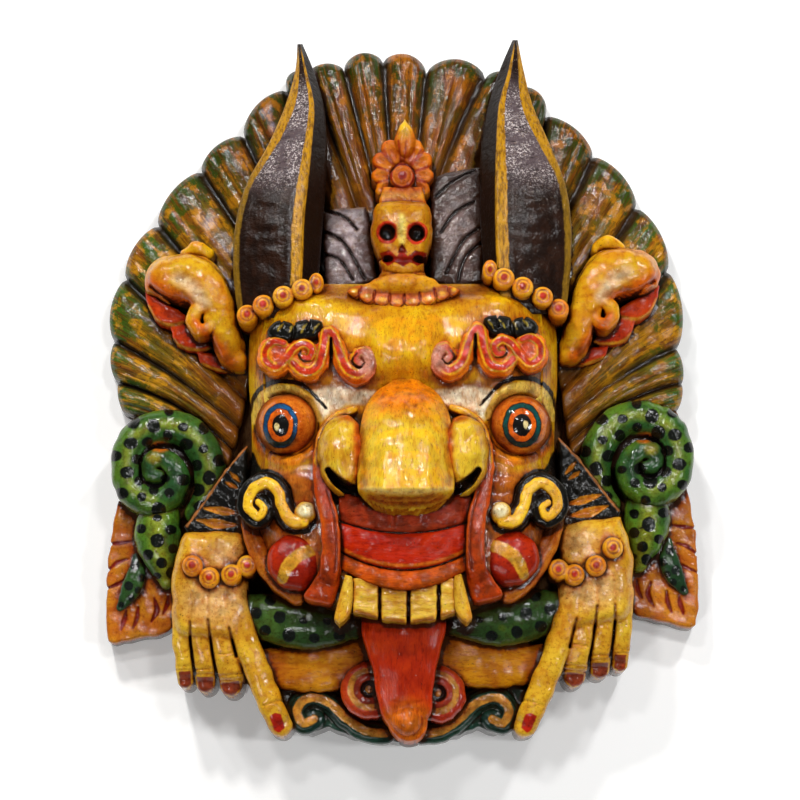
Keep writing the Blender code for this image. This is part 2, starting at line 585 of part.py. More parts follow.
def socket_cutters():
    for name, x, y, wide, tall, depth in SOCKETS:
        bm = bmesh.new()
        bmesh.ops.create_icosphere(bm, subdivisions=1, radius=UNIT)
        bmesh.ops.scale(bm, verts=bm.verts, vec=(wide, tall, tall))
        bmesh.ops.translate(bm, verts=bm.verts, vec=spot(x, y, depth))
        as_cutter(form_object(name, bm))


def collection_boolean(target, name, operation, collection):
    """A Boolean with every form of a collection. EXACT leaves edges shared by four faces where forms cross."""
    step = target.modifiers.new(name, "BOOLEAN")
    step.operation = operation
    step.operand_type = "COLLECTION"
    step.collection = collection
    step.solver = "MANIFOLD"


def wood_material():
    material = bpy.data.materials.new("painted_wood")
    material.use_nodes = True
    shader = material.node_tree.nodes["Principled BSDF"]
    shader.inputs["Base Color"].default_value = WOOD
    shader.inputs["Roughness"].default_value = 0.35
    shader.inputs["Metallic"].default_value = 0.0
    return material


clear_scene()
carving = bpy.data.collections.new("carved_mask")
forms = bpy.data.collections.new("carved_forms")
cutters = bpy.data.collections.new("cutters")
for group in (carving, forms, cutters):
    bpy.context.scene.collection.children.link(group)
forms.hide_render = True
cutters.hide_render = True

mask = back_board()
forms.objects.unlink(mask)
carving.objects.link(mask)
mask.hide_render = False
mask.display_type = "TEXTURED"
fan()
face()
horn("horn_left", HORN_LEFT, True)
horn("horn_right", HORN_RIGHT, False)
nose()
side_forms()
middle_forms()
saw_cutter()
hollow_cutter()
socket_cutters()
collection_boolean(mask, "join_forms", "UNION", forms)
evened = mask.modifiers.new("even_surface", "REMESH")
evened.mode = "VOXEL"
evened.voxel_size = SURFACE_STEP
thinned = mask.modifiers.new("thin_facets", "DECIMATE")
thinned.ratio = KEPT_FACETS
collection_boolean(mask, "cut_back", "DIFFERENCE", cutters)
mask.data.materials.append(wood_material())
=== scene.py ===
"""Looks of the wooden demon mask: every carved form as fine mesh, painted, antiqued with a glaze in the cuts
that also stands as painted shade, and varnished.

The carving is drawn on the same front sheet as its solid: a sheet place is (across, down) with a depth in
millimetres above the sawn back. Forms are carved on grids of voxels in millimetres and meshed.
"""

import math

import bpy
import numpy as np
import openvdb
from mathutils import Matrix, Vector

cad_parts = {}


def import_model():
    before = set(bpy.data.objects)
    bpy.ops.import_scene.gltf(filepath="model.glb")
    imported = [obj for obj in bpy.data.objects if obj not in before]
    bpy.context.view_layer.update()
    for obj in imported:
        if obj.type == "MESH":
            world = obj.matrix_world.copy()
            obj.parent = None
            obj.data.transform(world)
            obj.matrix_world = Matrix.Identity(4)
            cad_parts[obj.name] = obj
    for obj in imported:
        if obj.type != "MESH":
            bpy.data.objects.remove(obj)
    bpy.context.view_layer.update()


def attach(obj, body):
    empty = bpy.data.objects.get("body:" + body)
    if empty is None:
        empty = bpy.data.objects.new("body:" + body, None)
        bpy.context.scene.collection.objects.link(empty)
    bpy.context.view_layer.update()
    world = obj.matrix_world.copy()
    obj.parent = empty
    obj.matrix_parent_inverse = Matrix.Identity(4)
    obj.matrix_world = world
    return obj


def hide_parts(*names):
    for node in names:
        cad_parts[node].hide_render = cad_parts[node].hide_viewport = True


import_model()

# The front sheet: its side and the mask's height in sheet units, the height in millimetres, the middle.
SHEET_SIDE, SHEET_TALL, MASK_TALL = 800, 701.0, 500.0
PX = MASK_TALL / SHEET_TALL
MIDDLE = (400.5, 391.5)
MM = 1000.0

# The camera's tilt and distance, the depth of the sheet's plane, and how far the part is moved down.
TILT = math.radians(10.0)
COS, SIN = math.cos(TILT), math.sin(TILT)
AWAY, SHEET_DEPTH, CENTRE_SHIFT = 2200.0, 60.0, 6.95

# The right half: its middle line, how far its outer forms drift in, and how much higher they sit.
MID_LINE, OUTER_DRIFT, DRIFT_SPAN = 403.5, 2.5, 300.0
SIDE_RISE, RISE_FROM, RISE_TO = 16.0, 100.0, 220.0


def world(u, v, z):
    """Millimetres in the part's frame for sheet places and depths."""
    u, v, z = np.broadcast_arrays(np.asarray(u, float), np.asarray(v, float), np.asarray(z, float))
    right, up, lift = (u - MIDDLE[0]) * PX, (MIDDLE[1] - v) * PX, z - SHEET_DEPTH
    y = (up * (AWAY - COS * lift) - SIN * AWAY * lift) / (COS * AWAY - SIN * up)
    away = AWAY - COS * lift + SIN * y
    return np.stack([right * away / AWAY, y - CENTRE_SHIFT, z], axis=-1)


def sheet(points):
    """The sheet places (across, down) of points in millimetres."""
    y, lift = points[:, 1] + CENTRE_SHIFT, points[:, 2] - SHEET_DEPTH
    away = AWAY - COS * lift + SIN * y
    up = (COS * AWAY * y + SIN * AWAY * lift) / away
    return points[:, 0] * AWAY / away / PX + MIDDLE[0], MIDDLE[1] - up / PX


def turned(rows, rise=None):
    """The rows of the right half that answer rows drawn on the left half."""
    made = []
    for row in rows:
        off = abs(row[0] - MID_LINE)
        lift = rise
        if rise is None:
            lift = SIDE_RISE * min(1.0, max(0.0, (off - RISE_FROM) / (RISE_TO - RISE_FROM)))
        made.append((2 * MID_LINE - row[0] - OUTER_DRIFT * off / DRIFT_SPAN, row[1] - lift) + tuple(row[2:]))
    return made


def smooth(rows, step=3.0):
    """A Catmull-Rom curve through rows, in runs of about one step."""
    rows = np.asarray(rows, float)
    ends = np.vstack([rows[:1], rows, rows[-1:]])
    made = []
    for a, b, c, d in zip(ends, ends[1:], ends[2:], ends[3:]):
        n = max(1, int(np.hypot(*(c - b)[:2]) / step))
        t = (np.arange(n) / n)[:, None]
        made.append(b + 0.5 * t * (c - a) + t ** 2 * (a - 2.5 * b + 2 * c - 0.5 * d)
                    + t ** 3 * (1.5 * (b - c) + 0.5 * (d - a)))
    return np.vstack(made + [rows[-1:]])


def near(path, x, y, closed=False):
    """Distance to a path of rows (x, y, ...) and the place along it as a row number."""
    x, y = np.broadcast_arrays(x, y)
    best = np.full(x.shape, np.inf)
    place = np.zeros(x.shape)
    ends = np.vstack([path, path[:1]]) if closed else path
    for i, (a, b) in enumerate(zip(ends, ends[1:])):
        ex, ey = b[0] - a[0], b[1] - a[1]
        long = ex * ex + ey * ey
        if long == 0:
            continue
        t = np.clip(((x - a[0]) * ex + (y - a[1]) * ey) / long, 0.0, 1.0)
        dx, dy = x - a[0] - t * ex, y - a[1] - t * ey
        off = dx * dx + dy * dy
        closer = off < best
        best = np.where(closer, off, best)
        place = np.where(closer, i + t, place)
    return np.sqrt(best), place


def inside(path, x, y):
    """Which places lie within a closed path."""
    within = np.zeros(np.broadcast(x, y).shape, bool)
    for a, b in zip(path, np.roll(path, -1, axis=0)):
        if a[1] == b[1]:
            continue
        crosses = (a[1] > y) != (b[1] > y)
        within ^= crosses & (x < (b[0] - a[0]) * (y - a[1]) / (b[1] - a[1]) + a[0])
    return within


def along(path, place, column):
    """A column's value at places that near() gives."""
    return np.interp(place, np.arange(len(path)), path[:, column])


# How many sine waves add up to an unevenness
WAVES = 10


def waves(x, y, size, seed):
    """Smooth unevenness between about -1 and 1, with bumps of about one size."""
    made = np.random.default_rng(seed)
    total = np.zeros(np.broadcast(x, y).shape)
    for _ in range(WAVES):
        turn, phase = made.uniform(0, 2 * math.pi, 2)
        pace = 2 * math.pi / (size * made.uniform(0.7, 1.6))
        total += np.sin(pace * (x * math.cos(turn) + y * math.sin(turn)) + phase)
    return total / math.sqrt(WAVES)


class Ridge:
    """A rounded ridge along rows (across, down, radius in sheet units, depth in millimetres)."""

    def __init__(self, rows, floor=0.0, arch=0.8, power=2.0, blend=0.0, trim=None):
        path = smooth(rows)
        self.path = np.column_stack([world(path[:, 0], path[:, 1], path[:, 3]), path[:, 2] * PX])
        self.floor, self.arch, self.power, self.blend, self.trim = floor, arch, power, blend, trim
        pad = self.path[:, 3].max() + 2.0 + blend
        self.low = np.array([*(self.path[:, :2].min(0) - pad), floor - 2.0])
        self.high = np.array([*(self.path[:, :2].max(0) + pad), self.path[:, 2].max() + 3.0 + blend])

    def value(self, x, y, z):
        off, place = near(self.path, x, y)
        top, radius = along(self.path, place, 2), along(self.path, place, 3)
        over = np.maximum(z - (top - self.arch * radius)[..., None], 0.0) / self.arch
        if self.power == 2.0:
            field = np.hypot(off[..., None], over)
        else:
            field = (off[..., None] ** self.power + over ** self.power) ** (1.0 / self.power)
        field = field - radius[..., None]
        if self.trim:
            share, width, deep = self.trim
            field = field + (deep * np.exp(-((off / radius - share) / width) ** 2))[..., None]
        return np.maximum(field, self.floor - z)


def oval(form, x, y):
    """Places in an oval form's own measure, across it and along it."""
    dx, dy = x - form.middle[0], y - form.middle[1]
    a = (dx * math.cos(form.turn) + dy * math.sin(form.turn)) / form.wide
    b = (-dx * math.sin(form.turn) + dy * math.cos(form.turn)) / form.tall
    return a, b


class Dome:
    """A raised boss with an oval foot, turned in degrees."""

    def __init__(self, u, v, wide, tall, depth, rise, floor=0.0, turn=0.0, power=2.0, blend=0.0):
        self.middle = world(u, v, depth)
        self.wide, self.tall = wide * PX, tall * PX
        self.depth, self.rise, self.floor, self.power, self.blend = depth, rise, floor, power, blend
        self.turn = math.radians(turn)
        pad = max(self.wide, self.tall) + 2.0 + blend
        self.low = np.array([self.middle[0] - pad, self.middle[1] - pad, floor - 2.0])
        self.high = np.array([self.middle[0] + pad, self.middle[1] + pad, depth + 3.0 + blend])

    def value(self, x, y, z):
        share = np.hypot(*oval(self, x, y))
        over = np.maximum(z - (self.depth - self.rise), 0.0) / self.rise
        field = ((share[..., None] ** self.power + over ** self.power) ** (1.0 / self.power) - 1.0)
        return np.maximum(field * min(self.wide, self.tall, self.rise * 1.5), self.floor - z)


class Ball:
    """A ball, cut off flat below its floor."""

    def __init__(self, u, v, radius, depth, floor):
        self.middle, self.radius, self.floor, self.blend = world(u, v, depth), radius * PX, floor, 0.0
        pad = self.radius + 2.0
        self.low, self.high = self.middle - pad, self.middle + pad
        self.low[2] = floor - 2.0

    def value(self, x, y, z):
        flat = np.hypot(x - self.middle[0], y - self.middle[1])
        return np.maximum(np.hypot(flat[..., None], z - self.middle[2]) - self.radius, self.floor - z)


# How far in from its edge a plate's swell grows, in millimetres, and the step of a curved outline
SWELL_FADE, OUTLINE_STEP = 8.0, 4.0


class Plate:
    """A flat form with a rounded upper edge. Its top may lean, in millimetres a millimetre along x and y."""

    def __init__(self, outline, depth, floor=0.0, bevel=3.0, blend=0.0, lean=(0.0, 0.0), swell=0.0,
                 curved=False):
        rows = np.asarray(outline, float)
        if curved:
            rows = smooth([*outline, outline[0]], OUTLINE_STEP)[:-1]
        self.path = world(rows[:, 0], rows[:, 1], depth)
        self.depth, self.floor, self.bevel = depth, floor, bevel
        self.blend, self.lean, self.swell = blend, lean, swell
        self.middle = self.path[:, :2].mean(0)
        span = np.abs(self.path[:, :2] - self.middle).max(0)
        pad = 3.0 + blend
        self.low = np.array([*(self.path[:, :2].min(0) - pad), floor - 2.0])
        lift = abs(lean[0]) * span[0] + abs(lean[1]) * span[1] + swell
        self.high = np.array([*(self.path[:, :2].max(0) + pad), depth + lift + 3.0 + blend])

    def value(self, x, y, z):
        off, _ = near(self.path, x, y, closed=True)
        off = np.where(inside(self.path, x, y), -off, off)
        top = self.depth + self.lean[0] * (x - self.middle[0]) + self.lean[1] * (y - self.middle[1])
        top = top + self.swell * (1 - np.exp(np.minimum(off, 0.0) / SWELL_FADE))
        side = (off + self.bevel)[..., None]
        over = z - (top - self.bevel)[..., None]
        outside = np.hypot(np.maximum(side, 0), np.maximum(over, 0))
        field = outside - self.bevel + np.minimum(np.maximum(side, over), 0)
        return np.maximum(field, self.floor - z)


class Groove:
    """Presses in along rows (across, down, half width, depth at which it is drawn); deep in millimetres."""

    def __init__(self, rows, deep):
        path = smooth(rows)
        self.path = np.column_stack([world(path[:, 0], path[:, 1], path[:, 3]), path[:, 2] * PX])
        self.deep = deep
        pad = self.path[:, 3].max() + 1.0
        self.low, self.high = self.path[:, :2].min(0) - pad, self.path[:, :2].max(0) + pad

    def press(self, x, y):
        off, place = near(self.path, x, y)
        share = np.clip(1 - off / along(self.path, place, 3), 0.0, 1.0)
        return self.deep * (share * share * (3 - 2 * share))


class Bowl:
    """Presses in an oval hollow, or raises one where deep is negative."""

    def __init__(self, u, v, wide, tall, deep, at, turn=0.0, power=2.0):
        self.middle, self.wide, self.tall = world(u, v, at), wide * PX, tall * PX
        self.deep, self.power = deep, power
        self.turn = math.radians(turn)
        pad = max(self.wide, self.tall)
        self.low, self.high = self.middle[:2] - pad, self.middle[:2] + pad

    def press(self, x, y):
        a, b = oval(self, x, y)
        return self.deep * np.clip(1 - (a * a + b * b) ** (self.power / 2), 0.0, 1.0)


class Uneven:
    """The hand of the carver: slight unevenness over a whole block."""

    def __init__(self, amount, size, seed):
        self.amount, self.size, self.seed = amount, size, seed
        self.low = self.high = None

    def press(self, x, y):
        return self.amount * waves(x, y, self.size, self.seed)


# The dug-out hollow: its middle along y, rows of (depth, half width, half height), and its cut corners.
HOLLOW_MIDDLE = -51.85
HOLLOW_ROWS = ((0.0, 91.4, 100.2), (43.0, 85.8, 94.1), (86.0, 61.8, 67.8))
HOLLOW_CUT = 0.5

# The field's value far outside, and the faces below which a loose body is left out.
FAR, CHIP_FACES = 12.0, 200


def hollow_field(x, y, z):
    """Negative inside the dug-out back."""
    depths = [row[0] for row in HOLLOW_ROWS]
    wide = np.interp(z, depths, [row[1] for row in HOLLOW_ROWS])
    tall = np.interp(z, depths, [row[2] for row in HOLLOW_ROWS])
    dx, dy = np.abs(x)[..., None], np.abs(y - HOLLOW_MIDDLE)[..., None]
    corner = (dx + dy - (wide + tall - HOLLOW_CUT * np.minimum(wide, tall))) / math.sqrt(2)
    walls = np.maximum(np.maximum(dx - wide, dy - tall), corner)
    return np.maximum(walls, z - HOLLOW_ROWS[-1][0])


def carve(forms, step, hollow=False):
    """Carves forms on a grid. Returns places, three- and four-sided faces, in millimetres."""
    solid = [f for f in forms if hasattr(f, "value")]
    low = np.min([f.low for f in solid], axis=0) - step
    high = np.max([f.high for f in solid], axis=0) + step
    count = np.ceil((high - low) / step).astype(int) + 1
    x, y, z = (low[k] + step * np.arange(count[k]) for k in range(3))
    field = np.full(count, FAR, np.float32)
    for form in forms:
        if form.low is None:
            spans = [slice(0, n) for n in count]
        else:
            spans = []
            for k in range(len(form.low)):
                first = max(0, int((form.low[k] - low[k]) / step))
                spans.append(slice(first, min(count[k], int((form.high[k] - low[k]) / step) + 2)))
        spans = spans + [slice(0, count[2])] * (3 - len(spans))
        xs, ys, zs = x[spans[0]][:, None], y[spans[1]][None, :], z[spans[2]]
        if xs.size == 0 or ys.size == 0:
            continue
        here = field[tuple(spans)]
        if hasattr(form, "value"):
            new = form.value(xs, ys, zs)
            if form.blend:
                share = np.clip(0.5 + 0.5 * (here - new) / form.blend, 0.0, 1.0)
                here[...] = here * (1 - share) + new * share - form.blend * share * (1 - share)
            else:
                np.minimum(here, new, out=here, casting="unsafe")
        else:
            here += form.press(xs, ys)[..., None].astype(np.float32)
    if hollow:
        cut = -hollow_field(*np.meshgrid(x, y, indexing="ij"), z)
        np.maximum(field, cut, out=field, casting="unsafe")
    np.maximum(field, -z, out=field, casting="unsafe")
    for k in range(3):
        for side in (0, -1):
            edge = [slice(None)] * 3
            edge[k] = side
            field[tuple(edge)] = np.maximum(field[tuple(edge)], step)
    grid = openvdb.FloatGrid()
    grid.copyFromArray(np.clip(field, -FAR, FAR))
    points, triangles, quads = grid.convertToPolygons(isovalue=0.0, adaptivity=0.0)
    return without_chips(points * step + low, triangles, quads)


def without_chips(places, triangles, quads):
    """Leaves out bodies of few faces, which a groove beside an edge cuts loose."""
    label = np.arange(len(places))
    starts = np.concatenate([triangles[:, 0], triangles[:, 1], quads[:, 0], quads[:, 1], quads[:, 2]])
    ends = np.concatenate([triangles[:, 1], triangles[:, 2], quads[:, 1], quads[:, 2], quads[:, 3]])
    while (label[starts] != label[ends]).any():
        one, other = label[starts], label[ends]
        lower = np.minimum(one, other)
        np.minimum.at(label, one, lower)
        np.minimum.at(label, other, lower)
        label = label[label]
    faces = np.bincount(label[np.concatenate([triangles[:, 0], quads[:, 0]])], minlength=len(places))
    kept = faces[label] >= CHIP_FACES
    number = np.cumsum(kept) - 1
    return places[kept], number[triangles[kept[triangles[:, 0]]]], number[quads[kept[quads[:, 0]]]]


# All carved pieces, and how far from its edge a painted mark is measured, in sheet units
pieces = []
MARK_REACH = 30.0


def put_in(name, data):
    """A new object in the scene."""
    thing = bpy.data.objects.new(name, data)
    bpy.context.scene.collection.objects.link(thing)
    return thing


def build(name, places, triangles, quads):
    """A mesh object from places in millimetres, shaded smooth."""
    mesh = bpy.data.meshes.new(name)
    mesh.vertices.add(len(places))
    mesh.vertices.foreach_set("co", (places / MM).astype(np.float32).ravel())
    loops = np.concatenate([np.asarray(triangles, np.int32).ravel(), np.asarray(quads, np.int32).ravel()])
    sizes = np.concatenate([np.full(len(triangles), 3), np.full(len(quads), 4)])
    mesh.loops.add(len(loops))
    mesh.loops.foreach_set("vertex_index", loops)
    mesh.polygons.add(len(sizes))
    mesh.polygons.foreach_set("loop_start", np.concatenate([[0], np.cumsum(sizes)[:-1]]).astype(np.int32))
    mesh.update(calc_edges=True)
    mesh.validate()
    mesh.shade_smooth()
    piece = put_in(name, mesh)
    pieces.append(piece)
    return piece


def mark_value(mark, u, v):
    """How far inside a painted mark each sheet place is, in sheet units."""
    kind, *rest = mark
    if kind == "line":
        path = smooth(rest[0])
        off, place = near(path, u, v)
        return along(path, place, 2) - off
    if kind == "area":
        path = np.asarray(rest[0], float)
        off, _ = near(path, u, v, closed=True)
        return np.where(inside(path, u, v), off, -off)
    across, down, wide, tall = rest[:4]
    share = np.hypot((u - across) / wide, (v - down) / tall)
    if kind == "disc":
        return (1 - share) * min(wide, tall)
    return rest[4] - np.abs(1 - share) * min(wide, tall)


def add_field(piece, name, values):
    """Stores a value for each of the piece's vertices."""
    attribute = piece.data.attributes.new(name, "FLOAT", "POINT")
    attribute.data.foreach_set("value", np.asarray(values, np.float32))


def vertex_places(piece):
    places = np.empty(len(piece.data.vertices) * 3, np.float32)
    piece.data.vertices.foreach_get("co", places)
    return places.reshape(-1, 3)


def paint_marks(piece, layers):
    """Stores the signed distance to each layer's marks on the piece."""
    u, v = sheet(vertex_places(piece).astype(float) * MM)
    for i, layer in enumerate(layers):
        best = np.full(len(u), -MARK_REACH)
        for mark in layer[1]:
            best = np.maximum(best, mark_value(mark, u, v))
        add_field(piece, "mark_%d" % i, np.clip(best, -MARK_REACH, MARK_REACH))


def rgb(colour):
    """The linear colour of a tone given from 0 to 255."""
    linear = (c / 255.0 / 12.92 if c <= 10 else ((c / 255.0 + 0.055) / 1.055) ** 2.4 for c in colour)
    return tuple(linear) + (1.0,)


class Nodes:
    """A small helper that adds and links shader nodes."""

    def __init__(self, material):
        self.tree = material.node_tree

    def add(self, kind, inputs=(), **settings):
        node = self.tree.nodes.new("ShaderNode" + kind)
        for key, value in settings.items():
            setattr(node, key, value)
        for key, value in dict(inputs).items():
            if isinstance(value, bpy.types.NodeSocket):
                self.tree.links.new(value, node.inputs[key])
            else:
                node.inputs[key].default_value = value
        return node

    def noise(self, size, detail=3.0, stretch=(1, 1, 1), rough=0.5, seed=0.0):
        coordinates = self.add("TexCoord").outputs["Object"]
        moved = self.add("Mapping", {"Vector": coordinates, "Scale": stretch, "Location": (seed, seed, 0)})
        inputs = {"Vector": moved.outputs[0], "Scale": MM / size, "Detail": detail, "Roughness": rough}
        return self.add("TexNoise", inputs).outputs["Fac"]

    def ramp(self, value, low, high, to_low=0.0, to_high=1.0):
        limits = {"Value": value, "From Min": low, "From Max": high, "To Min": to_low, "To Max": to_high}
        return self.add("MapRange", limits, interpolation_type="SMOOTHSTEP").outputs["Result"]

    def maths(self, kind, a, b):
        return self.add("Math", {0: a, 1: b}, operation=kind).outputs[0]

    def plus(self, a, b):
        return self.maths("ADD", a, b)

    def times(self, a, b):
        return self.maths("MULTIPLY", a, b)

    def shake(self, amount, size, detail, **more):
        """Noise about nought, by half the amount either way."""
        return self.times(self.maths("SUBTRACT", self.noise(size, detail, **more), 0.5), amount)

    def mix(self, share, a, b, blend="MIX"):
        node = self.add("Mix", {0: share, 6: a, 7: b}, data_type="RGBA", blend_type=blend)
        return node.outputs[2]

    def field(self, name):
        return self.add("Attribute", attribute_name=name).outputs["Fac"]


# The dark glaze in the cuts, which also stands as painted shade in the recesses, and what all varnished paint
# has in common.
GLAZE_AND_SHADE, STREAKS, FLECKS, WORN = (40, 18, 4), (204, 150, 70), (172, 134, 60), (255, 200, 70)
STREAK_DEPTH, SOFT_EDGE, SECOND_TONE = 0.5, 0.7, 0.74
SPECULAR, COAT_ROUGHNESS = 0.06, 0.08
BUMP_STRENGTH, FILM_STRENGTH, BUMP_DEEP = 0.7, 0.42, 0.0014
made_materials = {}


def varnish(name, tones, layers=(), streak=(1, 1, 1), streak_size=5.0, wash=0.75, cover=0.88, wear=0.45,
            gloss=0.16, coarse=0.5, warm=(206, 122, 44), coat=0.65, grain=0.5):
    """Painted wood under old varnish: mottled tones, layers, glaze in the cuts that is also painted shade,
    worn edges, specks.
    """
    material = bpy.data.materials.new(name)
    material.use_nodes = True
    n = Nodes(material)
    shader = material.node_tree.nodes["Principled BSDF"]
    broad = n.ramp(n.noise(24.0, 5.0, seed=len(made_materials) * 0.37), 0.36, 0.62)
    colour = n.mix(broad, rgb(tones[0]), rgb(tones[1]))
    wobble = n.shake(2.4, 5.0, 2.0, seed=3.1)
    for i, (tint, _, *soft) in enumerate(layers):
        edge = n.plus(n.field("mark_%d" % i), wobble)
        fade = soft[0] if soft else SOFT_EDGE
        share = n.ramp(edge, -fade, fade)
        second = tuple(c * SECOND_TONE for c in tint)
        shade = n.mix(n.ramp(n.noise(8.0, 3.0, seed=5.3 + i), 0.38, 0.68), rgb(tint), rgb(second))
        colour = n.mix(share, colour, shade)
    strokes = n.noise(streak_size, 5.0, stretch=streak, rough=0.62, seed=9.7)
    colour = n.mix(n.ramp(strokes, 0.46, 0.66, 0.0, STREAK_DEPTH), colour, rgb(STREAKS), "MULTIPLY")
    flecks = n.ramp(n.noise(streak_size * 0.4, 3.0, stretch=streak, rough=0.6, seed=15.0), 0.54, 0.66, 0.0,
                    grain)
    colour = n.mix(flecks, colour, rgb(FLECKS), "MULTIPLY")
    cavity = n.field("cavity")
    # The cavity drives a warm wash and a dark glaze in the cuts: partly glaze settled in the hollows, partly
    # painted shade in the recesses.
    cut_glaze_and_shade = n.plus(cavity, n.shake(0.5, 4.0, 4.0, seed=21.0))
    colour = n.mix(n.ramp(cut_glaze_and_shade, -0.14, 0.34, 0.0, wash), colour, rgb(warm), "MULTIPLY")
    colour = n.mix(n.ramp(cut_glaze_and_shade, 0.2, 0.64, 0.0, cover), colour, rgb(GLAZE_AND_SHADE))
    edge = n.plus(n.times(cavity, -1.0), n.shake(0.6, 2.5, 3.0, seed=27.0))
    colour = n.mix(n.ramp(edge, 0.12, 0.6, 0.0, wear), colour, rgb(WORN), "SOFT_LIGHT")
    specks = n.ramp(n.noise(1.9, 2.0, rough=0.65, seed=33.0), 0.67, 0.74, 0.0, 0.8)
    colour = n.mix(specks, colour, rgb((34, 18, 7)))
    n.tree.links.new(colour, shader.inputs["Base Color"])
    rough = n.ramp(n.noise(4.0, 4.0, seed=41.0), 0.3, 0.7, gloss + 0.2, gloss + 0.4)
    n.tree.links.new(rough, shader.inputs["Roughness"])
    shader.inputs["Specular IOR Level"].default_value = SPECULAR
    shader.inputs["Coat Weight"].default_value = coat
    shader.inputs["Coat Roughness"].default_value = COAT_ROUGHNESS
    fine = n.times(n.noise(2.4, 2.0, stretch=streak, rough=0.55, seed=57.0), coarse * 0.8)
    heights = n.plus(n.noise(10.0, 1.5, seed=51.0), fine)
    heights = n.plus(heights, n.times(strokes, 0.2))
    bump = n.add("Bump", {"Height": heights, "Strength": BUMP_STRENGTH, "Distance": BUMP_DEEP})
    n.tree.links.new(bump.outputs[0], shader.inputs["Normal"])
    grit = n.times(n.noise(1.4, 2.0, rough=0.6, seed=63.0), coarse * 0.5)
    heights = n.plus(heights, grit)
    film = n.add("Bump", {"Height": heights, "Strength": FILM_STRENGTH, "Distance": BUMP_DEEP})
    n.tree.links.new(film.outputs[0], shader.inputs["Coat Normal"])
    made_materials[name] = material
    return material


def finish_piece(piece, material, layers=()):
    paint_marks(piece, layers)
    piece.data.materials.append(material)


def make(name, forms, tones, layers=(), step=1.0, hollow=False, **look):
    """Carves, meshes and paints one piece."""
    places, triangles, quads = carve(forms, step, hollow)
    piece = build(name, places, triangles, quads)
    finish_piece(piece, varnish(name, tones, layers, **look), layers)


def both(name, forms, tones, layers=(), rise=None, **more):
    """Makes a piece as drawn on the left half, and its answer on the right, from functions of the side."""
    for side in ("left", "right"):
        flip = (lambda rows: list(rows)) if side == "left" else (lambda rows: turned(rows, rise))
        make(name + "_" + side, forms(flip), tones, layers(flip) if layers else (), **more)


YELLOW = ((222, 176, 18), (200, 138, 12))
SNAKE = ((78, 116, 32), (42, 86, 36))
BLACK = ((18, 17, 12), (10, 10, 7))
SKIN = ((226, 180, 44), (208, 150, 30))

# The fan: one scalloped relief between the valleys of its lobes, each from the rim past a bend to the head.
FAN_VALLEYS = (
    ((126, 415), (178, 424), (226, 470)), ((119, 383), (180, 398), (232, 450)),
    ((116, 342), (178, 374), (238, 428)), ((127, 280), (168, 322), (245, 400)),
    ((159, 227), (196, 272), (256, 335)), ((202, 173), (238, 230), (290, 300)),
    ((245, 138), (264, 182), (318, 285)), ((288, 92), (306, 165), (345, 270)),
    ((308, 74), (330, 130), (366, 235)), ((344, 71), (362, 140), (384, 220)),
    ((383, 63), (388, 135), (396, 215)), ((426, 75), (420, 135), (412, 215)),
    ((485, 79), (452, 135), (425, 225)), ((520, 88), (500, 165), (462, 270)),
    ((544, 118), (538, 180), (490, 285)), ((592, 158), (565, 220), (518, 300)),
    ((635, 209), (605, 260), (550, 330)), ((666, 272), (632, 315), (562, 390)),
    ((675, 349), (622, 372), (566, 420)), ((681, 384), (622, 395), (570, 442)),
    ((675, 412), (622, 420), (574, 462)),
)
FAN_SCALLOPS = (4, 7, 11, 11, 12, 12, 14, 12, 9, 14, 15, 18, 12, 12, 12, 12, 12, 12, 5, 4)
FAN_EDGE, FAN_VALLEY, FAN_INNER, FAN_LOBE = 12.0, 22.0, 42.0, 9.0
FAN_COLUMNS, FAN_ROWS, FAN_TURN = 22, 64, 10


def loft(name, columns):
    """A closed body through columns of the same number of places (columns, places, 3)."""
    columns = np.asarray(columns, float)
    m, n = columns.shape[:2]
    i, j = np.meshgrid(np.arange(m - 1), np.arange(n), indexing="ij")
    k = (j + 1) % n
    quads = np.stack([i * n + j, i * n + k, (i + 1) * n + k, (i + 1) * n + j], axis=-1).reshape(-1, 4)
    places = np.vstack([columns.reshape(-1, 3), columns[0].mean(0), columns[-1].mean(0)])
    ring = np.arange(n)
    first, last = m * n, m * n + 1
    caps = np.vstack([
        np.column_stack([np.roll(ring, -1), ring, np.full(n, first)]),
        np.column_stack([(m - 1) * n + ring, (m - 1) * n + np.roll(ring, -1), np.full(n, last)]),
    ])
    corner = places[quads]
    total = np.einsum("ij,ij->i", corner[:, 0], np.cross(corner[:, 1], corner[:, 2])).sum()
    if total < 0:
        quads, caps = quads[:, ::-1], caps[:, ::-1]
    return build(name, places, caps, quads)


fan_rim = []


def bend(t, places):
    """A run from the first place towards the second and on to the third, as across and down."""
    return [(1 - t) ** 2 * p + 2 * t * (1 - t) * q + t * t * r for p, q, r in zip(*places)]


